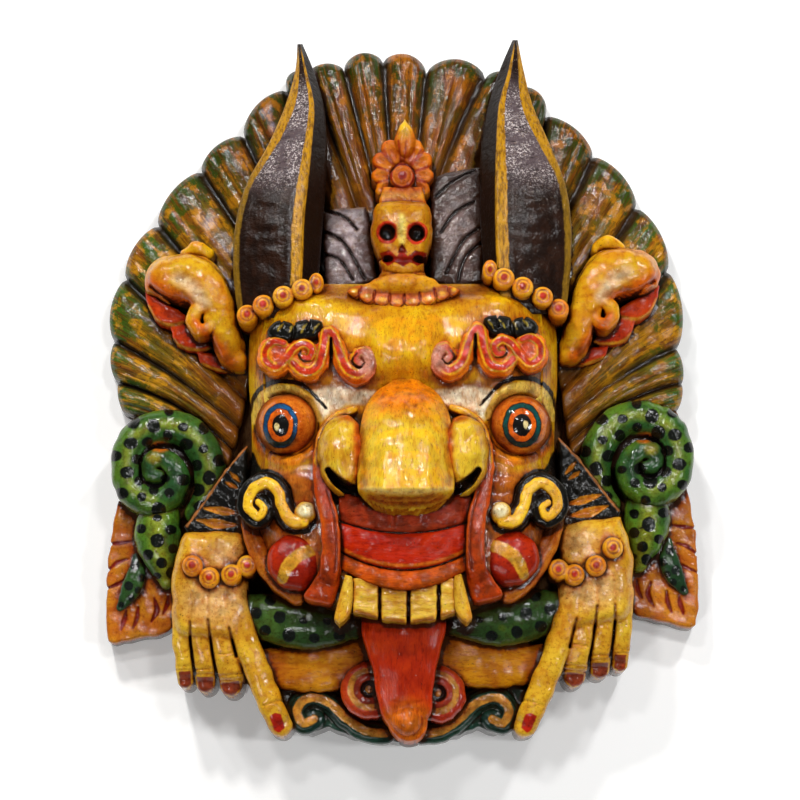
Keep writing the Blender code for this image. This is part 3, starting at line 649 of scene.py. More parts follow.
def fan():
    """The fan. Each lobe laps over its neighbour on the middle's side, which changes at the lobe FAN_TURN."""
    columns, shares, runs = [], [], []
    t = np.linspace(0.0, 1.0, FAN_ROWS) ** 1.15
    for i, (left, right) in enumerate(zip(FAN_VALLEYS, FAN_VALLEYS[1:])):
        chord = np.array([right[0][0] - left[0][0], right[0][1] - left[0][1]], float)
        outward = np.array([chord[1], -chord[0]]) / np.hypot(*chord)
        last = i == len(FAN_VALLEYS) - 2
        overlap = 1.0 if i < FAN_TURN else -1.0
        a, b = bend(t, left), bend(t, right)
        for s in np.linspace(0.0, 1.0, FAN_COLUMNS + 1)[: None if last else -1]:
            bell = max(math.sin(math.pi * s), 0.0)
            push = FAN_SCALLOPS[i] * bell ** 0.55 * np.maximum(0.0, 1 - 2.2 * t)
            u = a[0] + (b[0] - a[0]) * s + outward[0] * push
            v = a[1] + (b[1] - a[1]) * s + outward[1] * push
            flat = 1 - abs(2 * s - 1) ** 2.6
            z = FAN_VALLEY + (FAN_INNER - FAN_VALLEY) * t + 0.85 * FAN_LOBE * flat
            z = z + 4.5 * overlap * (s - 0.5) * (1 - t * 0.5)
            cut = math.exp(-((s - 0.5 + 0.12 * overlap) / 0.065) ** 2)
            cut = cut * np.clip(1.5 - 2.4 * np.abs(t - 0.28), 0, 1)
            z = z - 1.7 * cut - 3.0 * math.exp(-(min(s, 1 - s) / 0.05) ** 2) * np.clip(1.7 - 1.5 * t, 0, 1)
            z = z - (1 - np.clip(t / 0.05, 0, 1)) ** 2 * 4.0
            z = z + 0.5 * waves(u, v, 15.0, 3)
            top = world(u, v, z)
            rim = world(u[0], v[0], FAN_EDGE)
            edge = [[rim[0], rim[1], h] for h in (0.0, 0.5, 4.0, 8.0, 12.0)]
            under = [[*(rim[:2] + part * (top[-1][:2] - rim[:2])), 1.5] for part in (1.0, 0.5, 0.03)]
            columns.append(np.vstack([under[1:], edge, top, under[:1]]))
            fan_rim.append((u[4], v[4]))
            shares.append(np.full(len(columns[-1]), s))
            runs.append(np.concatenate([[0.5, 0.03], [0.0] * 5, t, [1.0]]))
    piece = loft("fan", columns)
    ends = [0.0, 0.0]
    lobe_share = np.concatenate([*shares, ends])
    add_field(piece, "lobe_share", lobe_share)
    add_field(piece, "lobe_edge", np.abs(lobe_share - 0.5))
    add_field(piece, "lobe_run", np.concatenate([*runs, ends]))
    lobes = np.repeat(np.arange(len(columns)) // FAN_COLUMNS, len(columns[0]))
    add_field(piece, "lobe_number", np.concatenate([lobes, ends]))
    finish_piece(piece, fan_paint())


def fan_paint():
    """Green, brown and ochre laid on in patches and scratchy strokes, with black in the valleys."""
    material = varnish("fan", ((112, 112, 36), (84, 96, 34)), coarse=0.8, coat=0.6)
    n = Nodes(material)
    shader = material.node_tree.nodes["Principled BSDF"]
    share, run, number = n.field("lobe_share"), n.field("lobe_run"), n.field("lobe_number")
    across, down, lobe = n.times(share, 7.0), n.times(run, 2.4), n.times(number, 3.7)
    strokes_at = n.add("CombineXYZ", {0: across, 1: down, 2: lobe}).outputs[0]

    def strokes(scale, seed, low, high, top=1.0):
        moved = n.add("Mapping", {"Vector": strokes_at, "Location": (seed, seed, seed)})
        noise = n.add("TexNoise",
                      {"Vector": moved.outputs[0], "Scale": scale, "Detail": 5.0, "Roughness": 0.62})
        return n.ramp(noise.outputs["Fac"], low, high, 0.0, top)

    def patches(size, seed, low, high, top=1.0):
        return n.ramp(n.noise(size, 5.0, rough=0.6, seed=seed), low, high, 0.0, top)

    colour = n.mix(strokes(1.0, 1.0, 0.4, 0.62), rgb((106, 86, 18)), rgb((126, 76, 18)))
    colour = n.mix(strokes(1.6, 7.0, 0.48, 0.64, 0.8), colour, rgb((184, 130, 24)))
    green = n.times(n.times(patches(24.0, 11.0, 0.4, 0.5), strokes(1.3, 3.0, 0.32, 0.52)),
                    n.ramp(run, 0.06, 0.55, 1.0, 0.1))
    colour = n.mix(green, colour, rgb((50, 84, 22)))
    colour = n.mix(patches(13.0, 23.0, 0.52, 0.62, 0.7), colour, rgb((196, 142, 26)))
    colour = n.mix(strokes(1.9, 13.0, 0.56, 0.66, 0.4), colour, rgb((184, 136, 30)))
    colour = n.mix(strokes(3.1, 19.0, 0.5, 0.62, 0.7), colour, rgb((66, 34, 10)))
    own = n.add("SeparateXYZ", {0: n.add("TexCoord").outputs["Object"]}).outputs["Y"]
    colour = n.mix(n.ramp(own, 0.08, 0.19, 0.0, 0.8), colour, rgb((176, 142, 96)), "MULTIPLY")
    edge = n.field("lobe_edge")
    fade = n.ramp(run, 0.35, 0.75, 1.0, 0.35)
    colour = n.mix(n.times(n.ramp(edge, 0.36, 0.47, 0.0, 0.95), fade), colour, rgb((22, 13, 6)))
    colour = n.mix(n.ramp(run, 0.5, 1.0, 0.0, 0.7), colour, rgb((92, 46, 16)))
    # Warm wash and dark glaze in the cuts: partly glaze settled in the hollows, partly painted shade in the
    # recesses.
    cavity = n.field("cavity")
    colour = n.mix(n.ramp(cavity, -0.05, 0.35, 0.0, 0.6), colour, rgb((150, 84, 40)), "MULTIPLY")
    colour = n.mix(n.ramp(cavity, 0.08, 0.5, 0.0, 0.95), colour, rgb(GLAZE_AND_SHADE))
    colour = n.mix(n.ramp(n.times(cavity, -1.0), 0.1, 0.6, 0.0, 0.5), colour, rgb((240, 205, 110)),
                   "SOFT_LIGHT")
    specks = n.ramp(n.noise(1.8, 2.0, rough=0.65, seed=33.0), 0.64, 0.72, 0.0, 0.85)
    colour = n.mix(specks, colour, rgb((26, 15, 6)))
    n.tree.links.new(colour, shader.inputs["Base Color"])
    return material


# Horns: rows of (down, left edge, right edge, front edge, front depth). The tall side wall faces the middle.
HORN_LEFT = (
    (44, 297.3, 302.5, 300, 52), (72, 295, 314, 306, 60), (106, 285, 324, 313, 72), (145, 268, 327, 310, 84),
    (183, 247, 326, 306, 95), (221, 236, 323, 302, 101), (262, 233, 320, 301, 104), (300, 236, 316, 299, 104),
    (318, 240, 314, 298, 102),
)
HORN_RIGHT = (
    (40, 512.5, 517.7, 515, 52), (72, 499, 524, 509, 60), (106, 488, 533, 500, 72), (145, 481, 550, 498, 84),
    (183, 480, 565, 497, 95), (221, 480, 571, 497, 101), (260, 483, 571, 498, 104), (296, 489, 568, 501, 104),
    (314, 494, 565, 505, 102),
)
HORN_WALL, HORN_FALL, HORN_BACK, HORN_CLIMB = 20.0, 17.0, 24.0, 52.0


def horn(name, rows, inner_right):
    """A horn with a dished face and a tall side wall, which is on the right where inner_right is true."""
    top, tall = rows[0][0], rows[-1][0] - rows[0][0]
    fine = smooth([(row[0], 0, *row[1:]) for row in rows], 2.0)
    columns, shares, runs = [], [], []
    for down, _, left, right, crest, depth in fine:
        outer, inner = (left, right) if inner_right else (right, left)
        part = min(1.0, max(0.0, (depth - rows[0][4]) / HORN_CLIMB))
        wall, fall = HORN_WALL * (0.25 + 0.75 * part), HORN_FALL * (0.25 + 0.75 * part)
        settle = min(1.0, part / 0.6)
        back = (depth - 14.0) + (HORN_BACK - depth + 14.0) * settle * settle * (3 - 2 * settle)
        s = np.linspace(0.0, 1.0, 34)
        face_z = depth - fall * (1 - s) ** 1.9
        edge = 0.095 + 0.285 * min(1.0, max(0.0, 1.4 - 3.6 * (down - top) / tall))
        rim = np.exp(-((s - edge) / 0.035) ** 2) + np.exp(-((s - 0.84) / 0.03) ** 2)
        dish = np.clip((s - edge - 0.03) / 0.1, 0, 1) * np.clip((0.82 - s) / 0.1, 0, 1)
        face_z = face_z - (0.45 * rim + 0.8 * dish) * (0.2 + 0.8 * part)
        face_z = face_z + 0.4 * dish * waves(s * 18.0, down, 11.0, 8) * part
        face_u = outer + (crest - outer) * s
        w = np.linspace(0.0, 1.0, 9)[1:]
        wall_u = crest + (inner - crest) * w ** 1.1
        wall_z = depth - wall * w
        u = np.concatenate([[outer, outer], face_u, wall_u, [inner, inner]])
        z = np.concatenate([[back, (back + face_z[0]) / 2], face_z, wall_z, [(back + wall_z[-1]) / 2, back]])
        share = np.concatenate([[-0.1, -0.05], s, 1.0 + w, [2.1, 2.2]])
        columns.append(world(u, np.full(len(u), down), z))
        shares.append(share)
        runs.append(np.full(len(share), (down - top) / tall))
    piece = loft(name, columns)
    add_field(piece, "horn_share", np.concatenate([*shares, [0.5, 0.5]]))
    add_field(piece, "horn_run", np.concatenate([*runs, [0.0, 1.0]]))
    finish_piece(piece, horn_paint())


def horn_paint():
    """Dark brown with a painted grey sheen and pale glint flecks on the upper face, and a gold stripe down
    each edge.
    """
    if "horn" in made_materials:
        return made_materials["horn"]
    material = varnish("horn", ((70, 50, 40), (52, 36, 30)), gloss=0.16, coarse=0.8, coat=0.25)
    n = Nodes(material)
    shader = material.node_tree.nodes["Principled BSDF"]
    share, run = n.field("horn_share"), n.field("horn_run")
    wobble = n.shake(0.05, 8.0, 3.0, seed=2.0)
    place = n.plus(share, wobble)
    body = n.mix(n.ramp(n.noise(12.0, 5.0, stretch=(1.6, 0.8, 1)), 0.4, 0.62), rgb((24, 10, 4)),
                 rgb((38, 19, 9)))
    # Painted sheen: a violet-grey reflection with bright glint flecks on the upper part of the horn's face,
    # not on its side wall.
    sheen = n.times(n.ramp(run, 0.1, 0.22), n.ramp(run, 0.42, 0.58, 1.0, 0.0))
    sheen = n.times(sheen, n.ramp(place, 1.0, 1.1, 1.0, 0.0))
    ragged = n.times(sheen, n.ramp(n.noise(16.0, 4.0, rough=0.6, seed=35.0), 0.36, 0.56))
    body = n.mix(n.times(sheen, 0.75), body, rgb((94, 80, 84)))
    sheen_glints = n.ramp(n.noise(1.6, 3.0, rough=0.75, seed=31.0), 0.5, 0.6)
    body = n.mix(n.times(n.times(ragged, sheen_glints), 0.9), body, rgb((206, 194, 190)))
    crossed = n.ramp(n.noise(3.2, 4.0, stretch=(0.45, 1.5, 1), seed=6.0), 0.54, 0.66, 0.0, 0.7)
    body = n.mix(crossed, body, rgb((26, 16, 12)))
    streaks = n.ramp(n.noise(3.0, 5.0, stretch=(1.6, 0.4, 1), rough=0.65), 0.4, 0.66)
    gold = n.mix(streaks, rgb((184, 132, 20)), rgb((112, 72, 12)))
    stripe = n.maths("SUBTRACT", place, n.ramp(run, 0.15, 0.55, 0.36, 0.075))
    left = n.times(n.ramp(place, -0.04, 0.0), n.ramp(stripe, 0.0, 0.03, 1.0, 0.0))
    right = n.times(n.ramp(place, 0.84, 0.865), n.ramp(place, 1.10, 1.16, 1.0, 0.0))
    colour = n.mix(left, body, n.mix(n.ramp(run, 0.35, 0.6, 0.0, 0.7), gold, rgb((96, 74, 20))))
    colour = n.mix(right, colour, gold)
    colour = n.mix(n.ramp(place, 1.12, 1.25, 0.0, 0.85), colour, rgb((22, 13, 8)))
    colour = n.mix(n.ramp(run, 0.005, 0.045, 0.95, 0.0), colour, rgb((24, 15, 9)))
    # Glaze and painted shade in the cuts.
    cavity = n.field("cavity")
    colour = n.mix(n.ramp(cavity, 0.1, 0.7, 0.0, 0.85), colour, rgb(GLAZE_AND_SHADE))
    # Pale specks, thickest on the upper face, add to the painted sheen there.
    specks = n.times(n.ramp(n.noise(1.5, 2.0, rough=0.65, seed=12.0), 0.62, 0.68, 0.0, 0.7),
                     n.times(n.ramp(run, 0.4, 0.7, 1.0, 0.05), n.ramp(place, 1.0, 1.1, 1.0, 0.1)))
    colour = n.mix(specks, colour, rgb((136, 116, 98)))
    n.tree.links.new(colour, shader.inputs["Base Color"])
    return material


# The block behind the face: rows of (down, share of the half width, front depth, side depth)
FACE_HALF, FACE_MIDDLE = 154.0, 403.0
FACE_ROWS = (
    (284, 0.73, 84, 58), (291, 0.86, 100, 62), (303, 0.95, 112, 66), (325, 0.99, 119, 68),
    (352, 1.0, 121, 70), (385, 1.0, 114, 70), (420, 0.985, 110, 70), (465, 0.985, 112, 70),
    (510, 1.02, 116, 68), (545, 0.97, 120, 66), (575, 0.86, 120, 62), (598, 0.68, 112, 58),
    (614, 0.49, 98, 54),
)

# The height of the slab's underside over the hollow and at its two ends, and the eyes' way off the middle
FACE_SLAB, FACE_EDGE, EYE_OFF = 93.0, 3.0, 116.5

# Mounds and, below nought, hollows of the face on both sides: (off the middle, down, wide, tall, high)
MOUNDS = (
    (66, 394, 20, 16, -3.0), (96, 300, 30, 10, 5.0), (24, 352, 14, 34, 6.0), (70, 352, 14, 30, -4.0),
    (110, 478, 34, 12, 5.0), (118, 560, 26, 26, 6.0), (140, 520, 8, 24, -4.0),
)


def mound(u, v, cu, cv, wide, tall, high):
    return high * np.exp(-((u - cu) / wide) ** 2 - ((v - cv) / tall) ** 2)


def face_height(u, v, z):
    """The modelling of the face's ground on top of its rounded block."""
    for side in (-1, 1):
        eye = MID_LINE + side * EYE_OFF
        off = np.hypot((u - eye) / 35.0, (v - 424) / 33.0)
        z = z - 11.0 * np.exp(-(off / 0.85) ** 4) + 4.0 * np.exp(-((off - 1.1) / 0.2) ** 2)
        for across, *rest in MOUNDS:
            z = z + mound(u, v, FACE_MIDDLE + side * across, *rest)
    return z + mound(u, v, FACE_MIDDLE, 352, 24, 36, 12.0) - mound(u, v, FACE_MIDDLE, 304, 70, 7, 2.0)


def face():
    """The face's ground as a slab over the hollow, with feet at its upper and lower edge."""
    fine = smooth([(row[0], 0, *row[1:]) for row in FACE_ROWS], 1.6)
    t = np.linspace(-1.0, 1.0, 210)
    share = np.sign(t) * (1 - (1 - np.abs(t)) ** 1.35)
    columns = []
    for down, _, width, front, side in fine:
        u = FACE_MIDDLE + FACE_HALF * width * share
        z = side + (front - side) * (1 - np.abs(share) ** 5) ** 0.8
        fade = (1 - np.abs(share) ** 8)
        z = z + (face_height(u, np.full(u.shape, down), z) - z) * fade + 0.3 * waves(u, down, 20.0, 11) * fade
        top = world(u, np.full(u.shape, down), z)
        deep = FACE_SLAB if 300 < down < 596 else FACE_EDGE
        left, right = top[0], top[-1]
        down_right = [[right[0], right[1], h] for h in (side * 0.6, side * 0.3, 2.0)]
        down_left = [[left[0], left[1], h] for h in (2.0, side * 0.3, side * 0.6)]
        middle = (left[0] + right[0]) / 2
        half = (right[0] - left[0]) / 2 * 0.9
        inner = [[middle + half, right[1], 2.0], [middle + half, right[1], deep],
                 [middle - half, left[1], deep], [middle - half, left[1], 2.0]]
        columns.append(np.vstack([top, down_right, inner, down_left]))
    piece = loft("face", columns)
    layers = face_layers()
    finish_piece(piece, varnish("face", YELLOW, layers, streak=(1.6, 0.45, 1), streak_size=4.0), layers)


def sides(rows, rise=0):
    """Rows as drawn on the left half, and their answer on the right."""
    return [list(rows), turned(rows, rise)]


def face_layers():
    """Painted shadow under the brows and along the forehead's top, a painted highlight on the pale hollows
    beside the nose, black behind the curls, orange jaws and ochre folds.
    """
    # A pale cream patch on the hollows beside the nose is a painted highlight.
    pale = [("area", r)
            for r in sides(((312, 392), (330, 386), (352, 388), (378, 392), (366, 404), (346, 404),
                                        (330, 412), (322, 420)))]
    dark = [("line", r) for r in sides(thin(CHEEK_CURL, 13.5))]
    dark += [("line", r) for r in sides(((251, 454, 3), (254, 470, 7), (262, 484, 9)))]
    warm = [("area", r)
            for r in sides(((247, 470), (266, 468), (300, 470), (316, 468), (326, 600), (300, 604),
                                        (262, 570), (246, 520)))]
    lower = [("line", r) for r in sides(LOWER_LID)]
    rims = [("ring", *r[0], 32, 30, 1.0) for r in sides([(286.5, 425.5)])]
    upper = [("line", r) for r in sides(UPPER_LID, 3)]
    crease = [("line", r) for r in sides(((250, 415, 1.4), (254, 397, 2.2), (266, 385, 2.4), (282, 381, 2.6),
                                          (304, 386, 2.4), (326, 408, 1.4)), 3)]
    # A brown band along the forehead's top edge and under the brows is a painted shadow.
    brown = [("line", r) for r in sides(((296, 292, 2), (324, 293, 4), (350, 299, 5), (372, 303, 4)), 2)]
    brown += [("line", r) for r in sides(((300, 386, 4), (318, 388, 5), (352, 390, 5), (382, 378, 6)), 3)]
    return [((150, 84, 20), brown, 7.0), ((255, 246, 212), pale, 3.0), ((196, 112, 28), warm, 6.0),
            ((222, 132, 20), lower, 2.0), ((74, 26, 8), rims, 0.9), ((252, 214, 92), upper, 1.2),
            ((20, 18, 14), dark, 1.0), ((18, 12, 6), crease, 0.8)]


# The nose: rows of (down, half width, front depth, fall at the sides)
NOSE_ROWS = (
    (378, 10, 122, 3), (384, 18, 128, 4), (390, 28, 136, 7), (402, 38, 146, 10), (418, 44, 154, 13),
    (445, 47.5, 163, 17), (470, 48.5, 169, 20), (484, 48.5, 171.5, 20), (489, 48, 172, 19),
    (492, 46, 168, 17), (499, 41, 157, 13), (508, 33, 144, 8), (518, 24, 131, 4),
)


def nose():
    fine = smooth([(row[0], 0, *row[1:]) for row in NOSE_ROWS], 1.6)
    t = np.linspace(-1.0, 1.0, 61)
    columns = []
    for down, _, half, depth, fall in fine:
        drop = np.clip((np.abs(t) - 0.40) / 0.6, 0, 1) ** 1.5 + 0.06 * np.clip(np.abs(t) / 0.4, 0, 1) ** 2
        crease = 0.8 * np.exp(-((np.abs(t) - 0.46) / 0.05) ** 2) * np.clip((down - 430) / 30, 0, 1)
        z = depth - fall * drop + crease + 0.35 * waves(t * half, down, 14.0, 5)
        top = world(406 + half * t, np.full(t.shape, down), z)
        left, right = top[0], top[-1]
        sides_down = [[right[0], right[1], h] for h in (right[2] * 0.5 + 50, 98.0)]
        sides_up = [[left[0], left[1], h] for h in (98.0, left[2] * 0.5 + 50)]
        columns.append(np.vstack([top, sides_down, sides_up]))
    piece = loft("nose", columns)
    layers = [
        ((222, 128, 12), [("disc", 404, 394, 44, 22)], 12.0),
        ((206, 140, 30), [("line", ((364, 404, 5), (362, 440, 4), (364, 486, 3))),
                          ("line", ((446, 404, 5), (450, 440, 4), (449, 486, 3)))], 4.0),
        ((236, 206, 112), [("line", ((366, 489, 2.5), (388, 491, 3.5), (420, 491, 3.5), (446, 489, 2.5)))],
         2.5),
        ((182, 120, 30), [("line", ((370, 498, 4), (406, 502, 6), (442, 498, 4)))], 3.0),
    ]
    finish_piece(piece, varnish("nose", ((226, 192, 46), (206, 160, 30)), layers, streak=(1.8, 0.4, 1)),
                 layers)


BROW_OUTER = (
    (284, 343, 5, 126), (275, 341, 6.5, 126), (266, 348, 7.5, 125), (266, 361, 8, 124), (276, 367, 8, 125),
    (286, 358, 7.5, 126), (294, 348, 7, 127), (304, 343, 6.5, 128), (312, 349, 6, 128), (309, 358, 5, 127),
    (303, 357, 4.5, 127),
)
BROW_INNER = (
    (293, 363, 7, 125), (303, 371, 8.5, 126), (316, 368, 8.5, 127), (323, 350, 7.5, 128), (326, 332, 7, 128),
    (333, 335, 7, 128), (339, 350, 8, 129), (345, 366, 9, 129), (357, 374, 9.5, 129), (367, 367, 9, 130),
    (369, 356, 8, 130), (361, 351, 6.5, 130), (355, 358, 5.5, 129), (361, 364, 4.5, 129),
)
BROW_BED = (
    (266, 358), (268, 346), (284, 342), (302, 345), (318, 350), (326, 332), (333, 336), (340, 352),
    (355, 352), (370, 357), (367, 371), (350, 373), (339, 362), (330, 366), (318, 372), (304, 374),
    (292, 366), (282, 365), (272, 368),
)
TUFT = (
    (270, 338), (267, 330), (273, 322), (282, 319), (292, 322), (301, 319), (312, 318), (322, 321),
    (322, 329), (317, 338), (296, 342), (280, 341),
)
UPPER_LID = ((253, 421, 4), (257, 405, 5), (267, 394, 5.5), (281, 390, 5.5), (296, 393, 5.5), (308, 402, 5),
             (318, 418, 4))
LOWER_LID = ((256, 434, 5), (264, 449, 7), (282, 457, 8), (302, 455, 7.5), (317, 441, 5))
CHEEK_BAND = (
    (355, 409, 3, 126), (337, 416, 4.2, 130), (323, 433, 4.8, 131), (318, 462, 5.5, 133),
    (322, 490, 7.5, 134), (329, 518, 8.8, 136), (331, 550, 8.8, 136), (329, 572, 9, 132),
    (325, 584, 8, 126),
)
BAND_FOOT = ((322, 556), (340, 560), (339, 584), (332, 603), (320, 602), (303, 596), (312, 582), (319, 570))
CHEEK_CURL = (
    (258, 502, 3.2, 119), (264, 508, 3.4, 120), (258, 516, 4.2, 120), (248, 506, 4.8, 120),
    (252, 490, 5.2, 121), (266, 482, 5.4, 122), (278, 491, 5.5, 123), (282, 506, 5.5, 124),
    (291, 520, 6, 125), (303, 521, 5.5, 126),
)
JAW_FOLD = ((249, 520, 9, 86), (256, 545, 10, 92), (272, 572, 11, 96), (296, 592, 11, 98))
FANG = ((345, 574), (352, 576), (353, 594), (351, 611), (345, 620), (339, 624), (334, 619), (338, 600))
EAR = (
    (147, 290), (144, 278), (150, 263), (166, 254), (190, 252), (210, 259), (224, 277), (233, 303),
    (240, 330), (246, 360), (242, 368), (228, 365), (218, 356), (215, 340), (212, 326), (206, 306),
    (192, 304), (180, 305), (162, 296),
)
EAR_BODY = ((168, 276, 20, 80), (190, 276, 24, 84), (211, 294, 19, 84), (222, 320, 14, 80),
            (229, 345, 12, 76), (236, 358, 8, 70))
EAR_CURL = ((208, 304, 8, 80), (197, 309, 7.5, 81), (192, 320, 7, 81), (199, 329, 6.5, 81), (209, 325, 6, 80),
            (208, 316, 5, 79))
PALM = (
    (184, 531), (243, 533), (246, 560), (247, 600), (243, 625), (236, 640), (200, 638), (178, 634),
    (172, 612), (171, 578), (175, 556), (180, 541),
)
FINGERS = (
    ((181, 606, 9.4, 77), (181.5, 640, 9.4, 72), (184, 668, 8.8, 65), (185.5, 680, 8, 58)),
    ((198, 606, 10.6, 80), (201, 640, 11.2, 75), (204.5, 670, 10.8, 68), (205.5, 682, 9.8, 60)),
    ((216, 608, 11.2, 81), (222.5, 645, 12.2, 76), (229.5, 672, 12.4, 70), (231, 684, 11.4, 61)),
    ((234, 604, 12.5, 81), (247, 645, 12.6, 78), (265, 690, 12.6, 73), (276, 716, 12.4, 69),
     (280.5, 725, 11.4, 64)),
)
WEB = ((178, 612, 0), (248, 612, 3), (243, 640, 2), (238, 664, 2), (222, 676, 2), (208, 674, 1),
       (192, 668, 0), (182, 664, 0))
NAILS = (
    ((179, 672), (190.5, 671), (191, 684), (186, 689), (180, 687)),
    ((197, 677), (213.5, 677), (213, 689), (206, 693), (198, 690)),
    ((221, 683), (239, 681), (241, 689), (233, 696), (223, 694)),
    ((269, 716), (275, 713), (281, 714), (285, 728), (279, 733), (274, 730)),
)
CREASES = (
    ((177, 666.5, 1.6, 63), (190, 666.5, 1.6, 63)), ((177.5, 670, 1.4, 63), (190.5, 669.5, 1.4, 63)),
    ((195, 670, 1.6, 65), (213, 669, 1.6, 65)), ((196, 674, 1.4, 65), (214, 673.5, 1.4, 65)),
    ((219, 676, 1.6, 67), (240, 674, 1.6, 67)), ((220, 680, 1.4, 66), (241, 678.5, 1.4, 66)),
    ((263, 706, 1.8, 70), (284, 699, 1.8, 70)), ((218, 655, 1.4, 74), (232, 653, 1.4, 74)),
)
COIL = (
    (196, 512, 12, 52), (208, 490, 15, 58), (207, 458, 16.5, 61), (189, 431, 17, 61), (162, 424, 17, 61),
    (136, 435, 17, 61), (126, 461, 16.5, 61), (131, 487, 16, 61), (152, 500, 15, 60), (171, 491, 13, 61),
    (175, 472, 13, 62), (163, 459, 12, 62), (151, 461, 10, 61), (150, 472, 8.5, 60), (158, 475, 6.5, 60),
)
SNAKE_TAIL = ((158, 512, 20, 54), (156, 534, 23, 54), (161, 558, 18, 51), (166, 580, 8, 42))
SNAKE_BODY = ((250, 612, 20, 74), (285, 618, 26, 82), (318, 622, 25, 84), (352, 622, 16, 84))
CHIN_ROLL = ((268, 666, 19, 58), (305, 667, 23, 64), (340, 663, 25, 68), (374, 654, 24, 69))
SCROLL_LINE = (
    (386, 733, 5, 54), (366, 731, 6, 55), (346, 718, 6.5, 56), (328, 702, 6.5, 57), (308, 698, 6.5, 57),
    (297, 710, 6.5, 56), (303, 723, 6, 55), (314, 719, 5, 54),
)
SCROLL = (
    (280, 690), (296, 680), (318, 680), (340, 692), (362, 706), (403, 712), (403, 742), (370, 740),
    (348, 735), (328, 727), (311, 733), (296, 727), (286, 714),
)
LEAF_PLATE = (
    (118, 500), (109, 549), (106, 600), (107, 634), (113, 643), (142, 637), (172, 628), (176, 590),
    (160, 515),
)
CUFF = ((248, 443), (226, 468), (204, 500), (184, 526), (187, 533), (243, 537), (246, 500))
TONGUE = (
    (404, 616, 42, 106), (404, 634, 40, 108), (404, 660, 32, 106), (405, 690, 27, 102), (407, 712, 24, 98),
    (408, 721, 19.5, 94),
)
GROUND = (
    (340, 190), (300, 230), (230, 300), (150, 390), (126, 430), (118, 470), (125, 500), (122, 560),
    (118, 615), (165, 618), (184, 640), (190, 668), (236, 672), (268, 706), (290, 708), (310, 722),
    (350, 724), (403, 730),
)


def thin(rows, half):
    """The same run as a painted line of one half width."""
    return [(row[0], row[1], half) for row in rows]


def thin_deep(rows, half, depth):
    """The same run with one half width and one depth."""
    return [(row[0], row[1], half, depth) for row in rows]


def wider(rows, more, depth):
    """The same run with wider halves, at one depth."""
    return [(row[0], row[1], row[2] + more, depth) for row in rows]


def slanted(f, angle):
    """An angle drawn on the left half, or its answer on the right."""
    return angle if f([(0, 0)])[0][0] == 0 else -angle


def brows():
    both(
        "brow",
        lambda f: [Plate(f(BROW_BED), 124.5, 104, 3.0, curved=True)]
        + [Ridge(f(rows), 104, 0.85, 2.2, trim=(0.8, 0.12, 0.8), blend=0.6)
           for rows in (BROW_OUTER, BROW_INNER)]
        + [Groove(f([(331, 338, 1.6, 130), (331, 356, 2.4, 130), (330, 374, 1.6, 130)]), 5.0),
           Uneven(0.25, 9.0, 21)],
        ((228, 126, 16), (212, 92, 10)),
        lambda f: [((230, 164, 26), [("line", thin(f(BROW_OUTER), 4.4)), ("line", thin(f(BROW_INNER), 5.0))],
                    1.0),
                   ((202, 50, 4), [("line", thin(f(BROW_OUTER), 2.6)), ("line", thin(f(BROW_INNER), 3.0))],
                    1.0),
                   ((206, 76, 8), [("disc", *f([(279, 354)])[0], 7, 9)], 1.6),
                   # A pinkish patch on the inner curl is a painted sheen.
                   ((206, 140, 120), [("disc", *f([(368, 362)])[0], 10, 15)], 6.0),
                   ((60, 22, 6),
                    [("line", f([(301, 350, 0.9), (299, 355, 1.4), (303, 361, 1.2), (311, 361, 0.9)])),
                     ("line", f([(357, 353, 0.9), (352, 361, 1.4), (359, 368, 1.3), (364, 363, 0.9)]))],
                    0.8),
                   ((30, 14, 5), [("line", f([(331, 338, 1.2), (331, 356, 1.8), (330, 373, 1.2)]))], 0.8)],
        rise=4, step=0.7,
    )
    strands = [((277 + 12 * i, 333, 0.5), (279 + 12 * i, 328, 1.3), (283 + 12 * i, 324, 0.5))
               for i in range(4)]
    parts = [((293, 320, 2.0, 128), (294, 330, 2.6, 128), (291, 341, 2.0, 128)),
             ((281, 318, 1.2, 128), (282, 324, 1.6, 128), (280, 330, 1.0, 128)),
             ((308, 317, 1.2, 128), (309, 324, 1.6, 128), (307, 331, 1.0, 128))]
    both(
        "brow_tuft",
        lambda f: [Plate(f(TUFT), 125, 106, 4.0, curved=True, swell=3.0)]
        + [Groove(f(part), 2.4) for part in parts]
        + [Uneven(0.2, 8.0, 22)],
        BLACK, lambda f: [((150, 132, 44), [("line", f(strand)) for strand in strands], 0.7)], rise=4,
        step=0.8, wear=0.2, coat=0.35,
    )


def eyes():
    for side, (u, v), (iu, iv), lit, grow, blue in (
        ("left", (286.5, 424), (280.5, 425.5), (276.5, 427), 1.0, (24, 84, 136)),
        ("right", (520, 425), (522, 425), (526, 425), 1.1, (16, 78, 76)),
    ):
        rings = [
            # The dark rim at the ball's edge is partly a painted rim and partly painted shadow under the lid.
            ((132, 42, 12), [("ring", u, v, 31, 31, 3.5)], 4.0),
            ((16, 14, 12), [("disc", iu, iv, 17.6 * grow, 22.8)], 0.6),
            (blue, [("disc", iu, iv, 16.8 * grow, 21.9)], 0.6),
            ((30, 46, 44), [("disc", iu, iv + 13, 15.0 * grow, 9.0)], 3.0),
            ((20, 26, 28), [("disc", iu, iv, 13.4 * grow, 17.4)], 0.5),
            ((232, 104, 12), [("disc", iu, iv, 12.6 * grow, 16.6)], 0.5),
            ((14, 11, 9), [("disc", iu, iv, 8.6 * grow, 11.2)], 0.5),
            ((230, 214, 150), [("disc", lit[0], lit[1], 2.6, 4.3)], 0.5),
        ]
        make("eye_" + side, [Ball(u, v + 0.5, 30.0, 100, 90), Uneven(0.12, 12.0, 4)],
             ((224, 136, 38), (200, 98, 22)), rings,
             step=0.8, cover=0.6, wear=0.1, gloss=0.12, coarse=0.15)


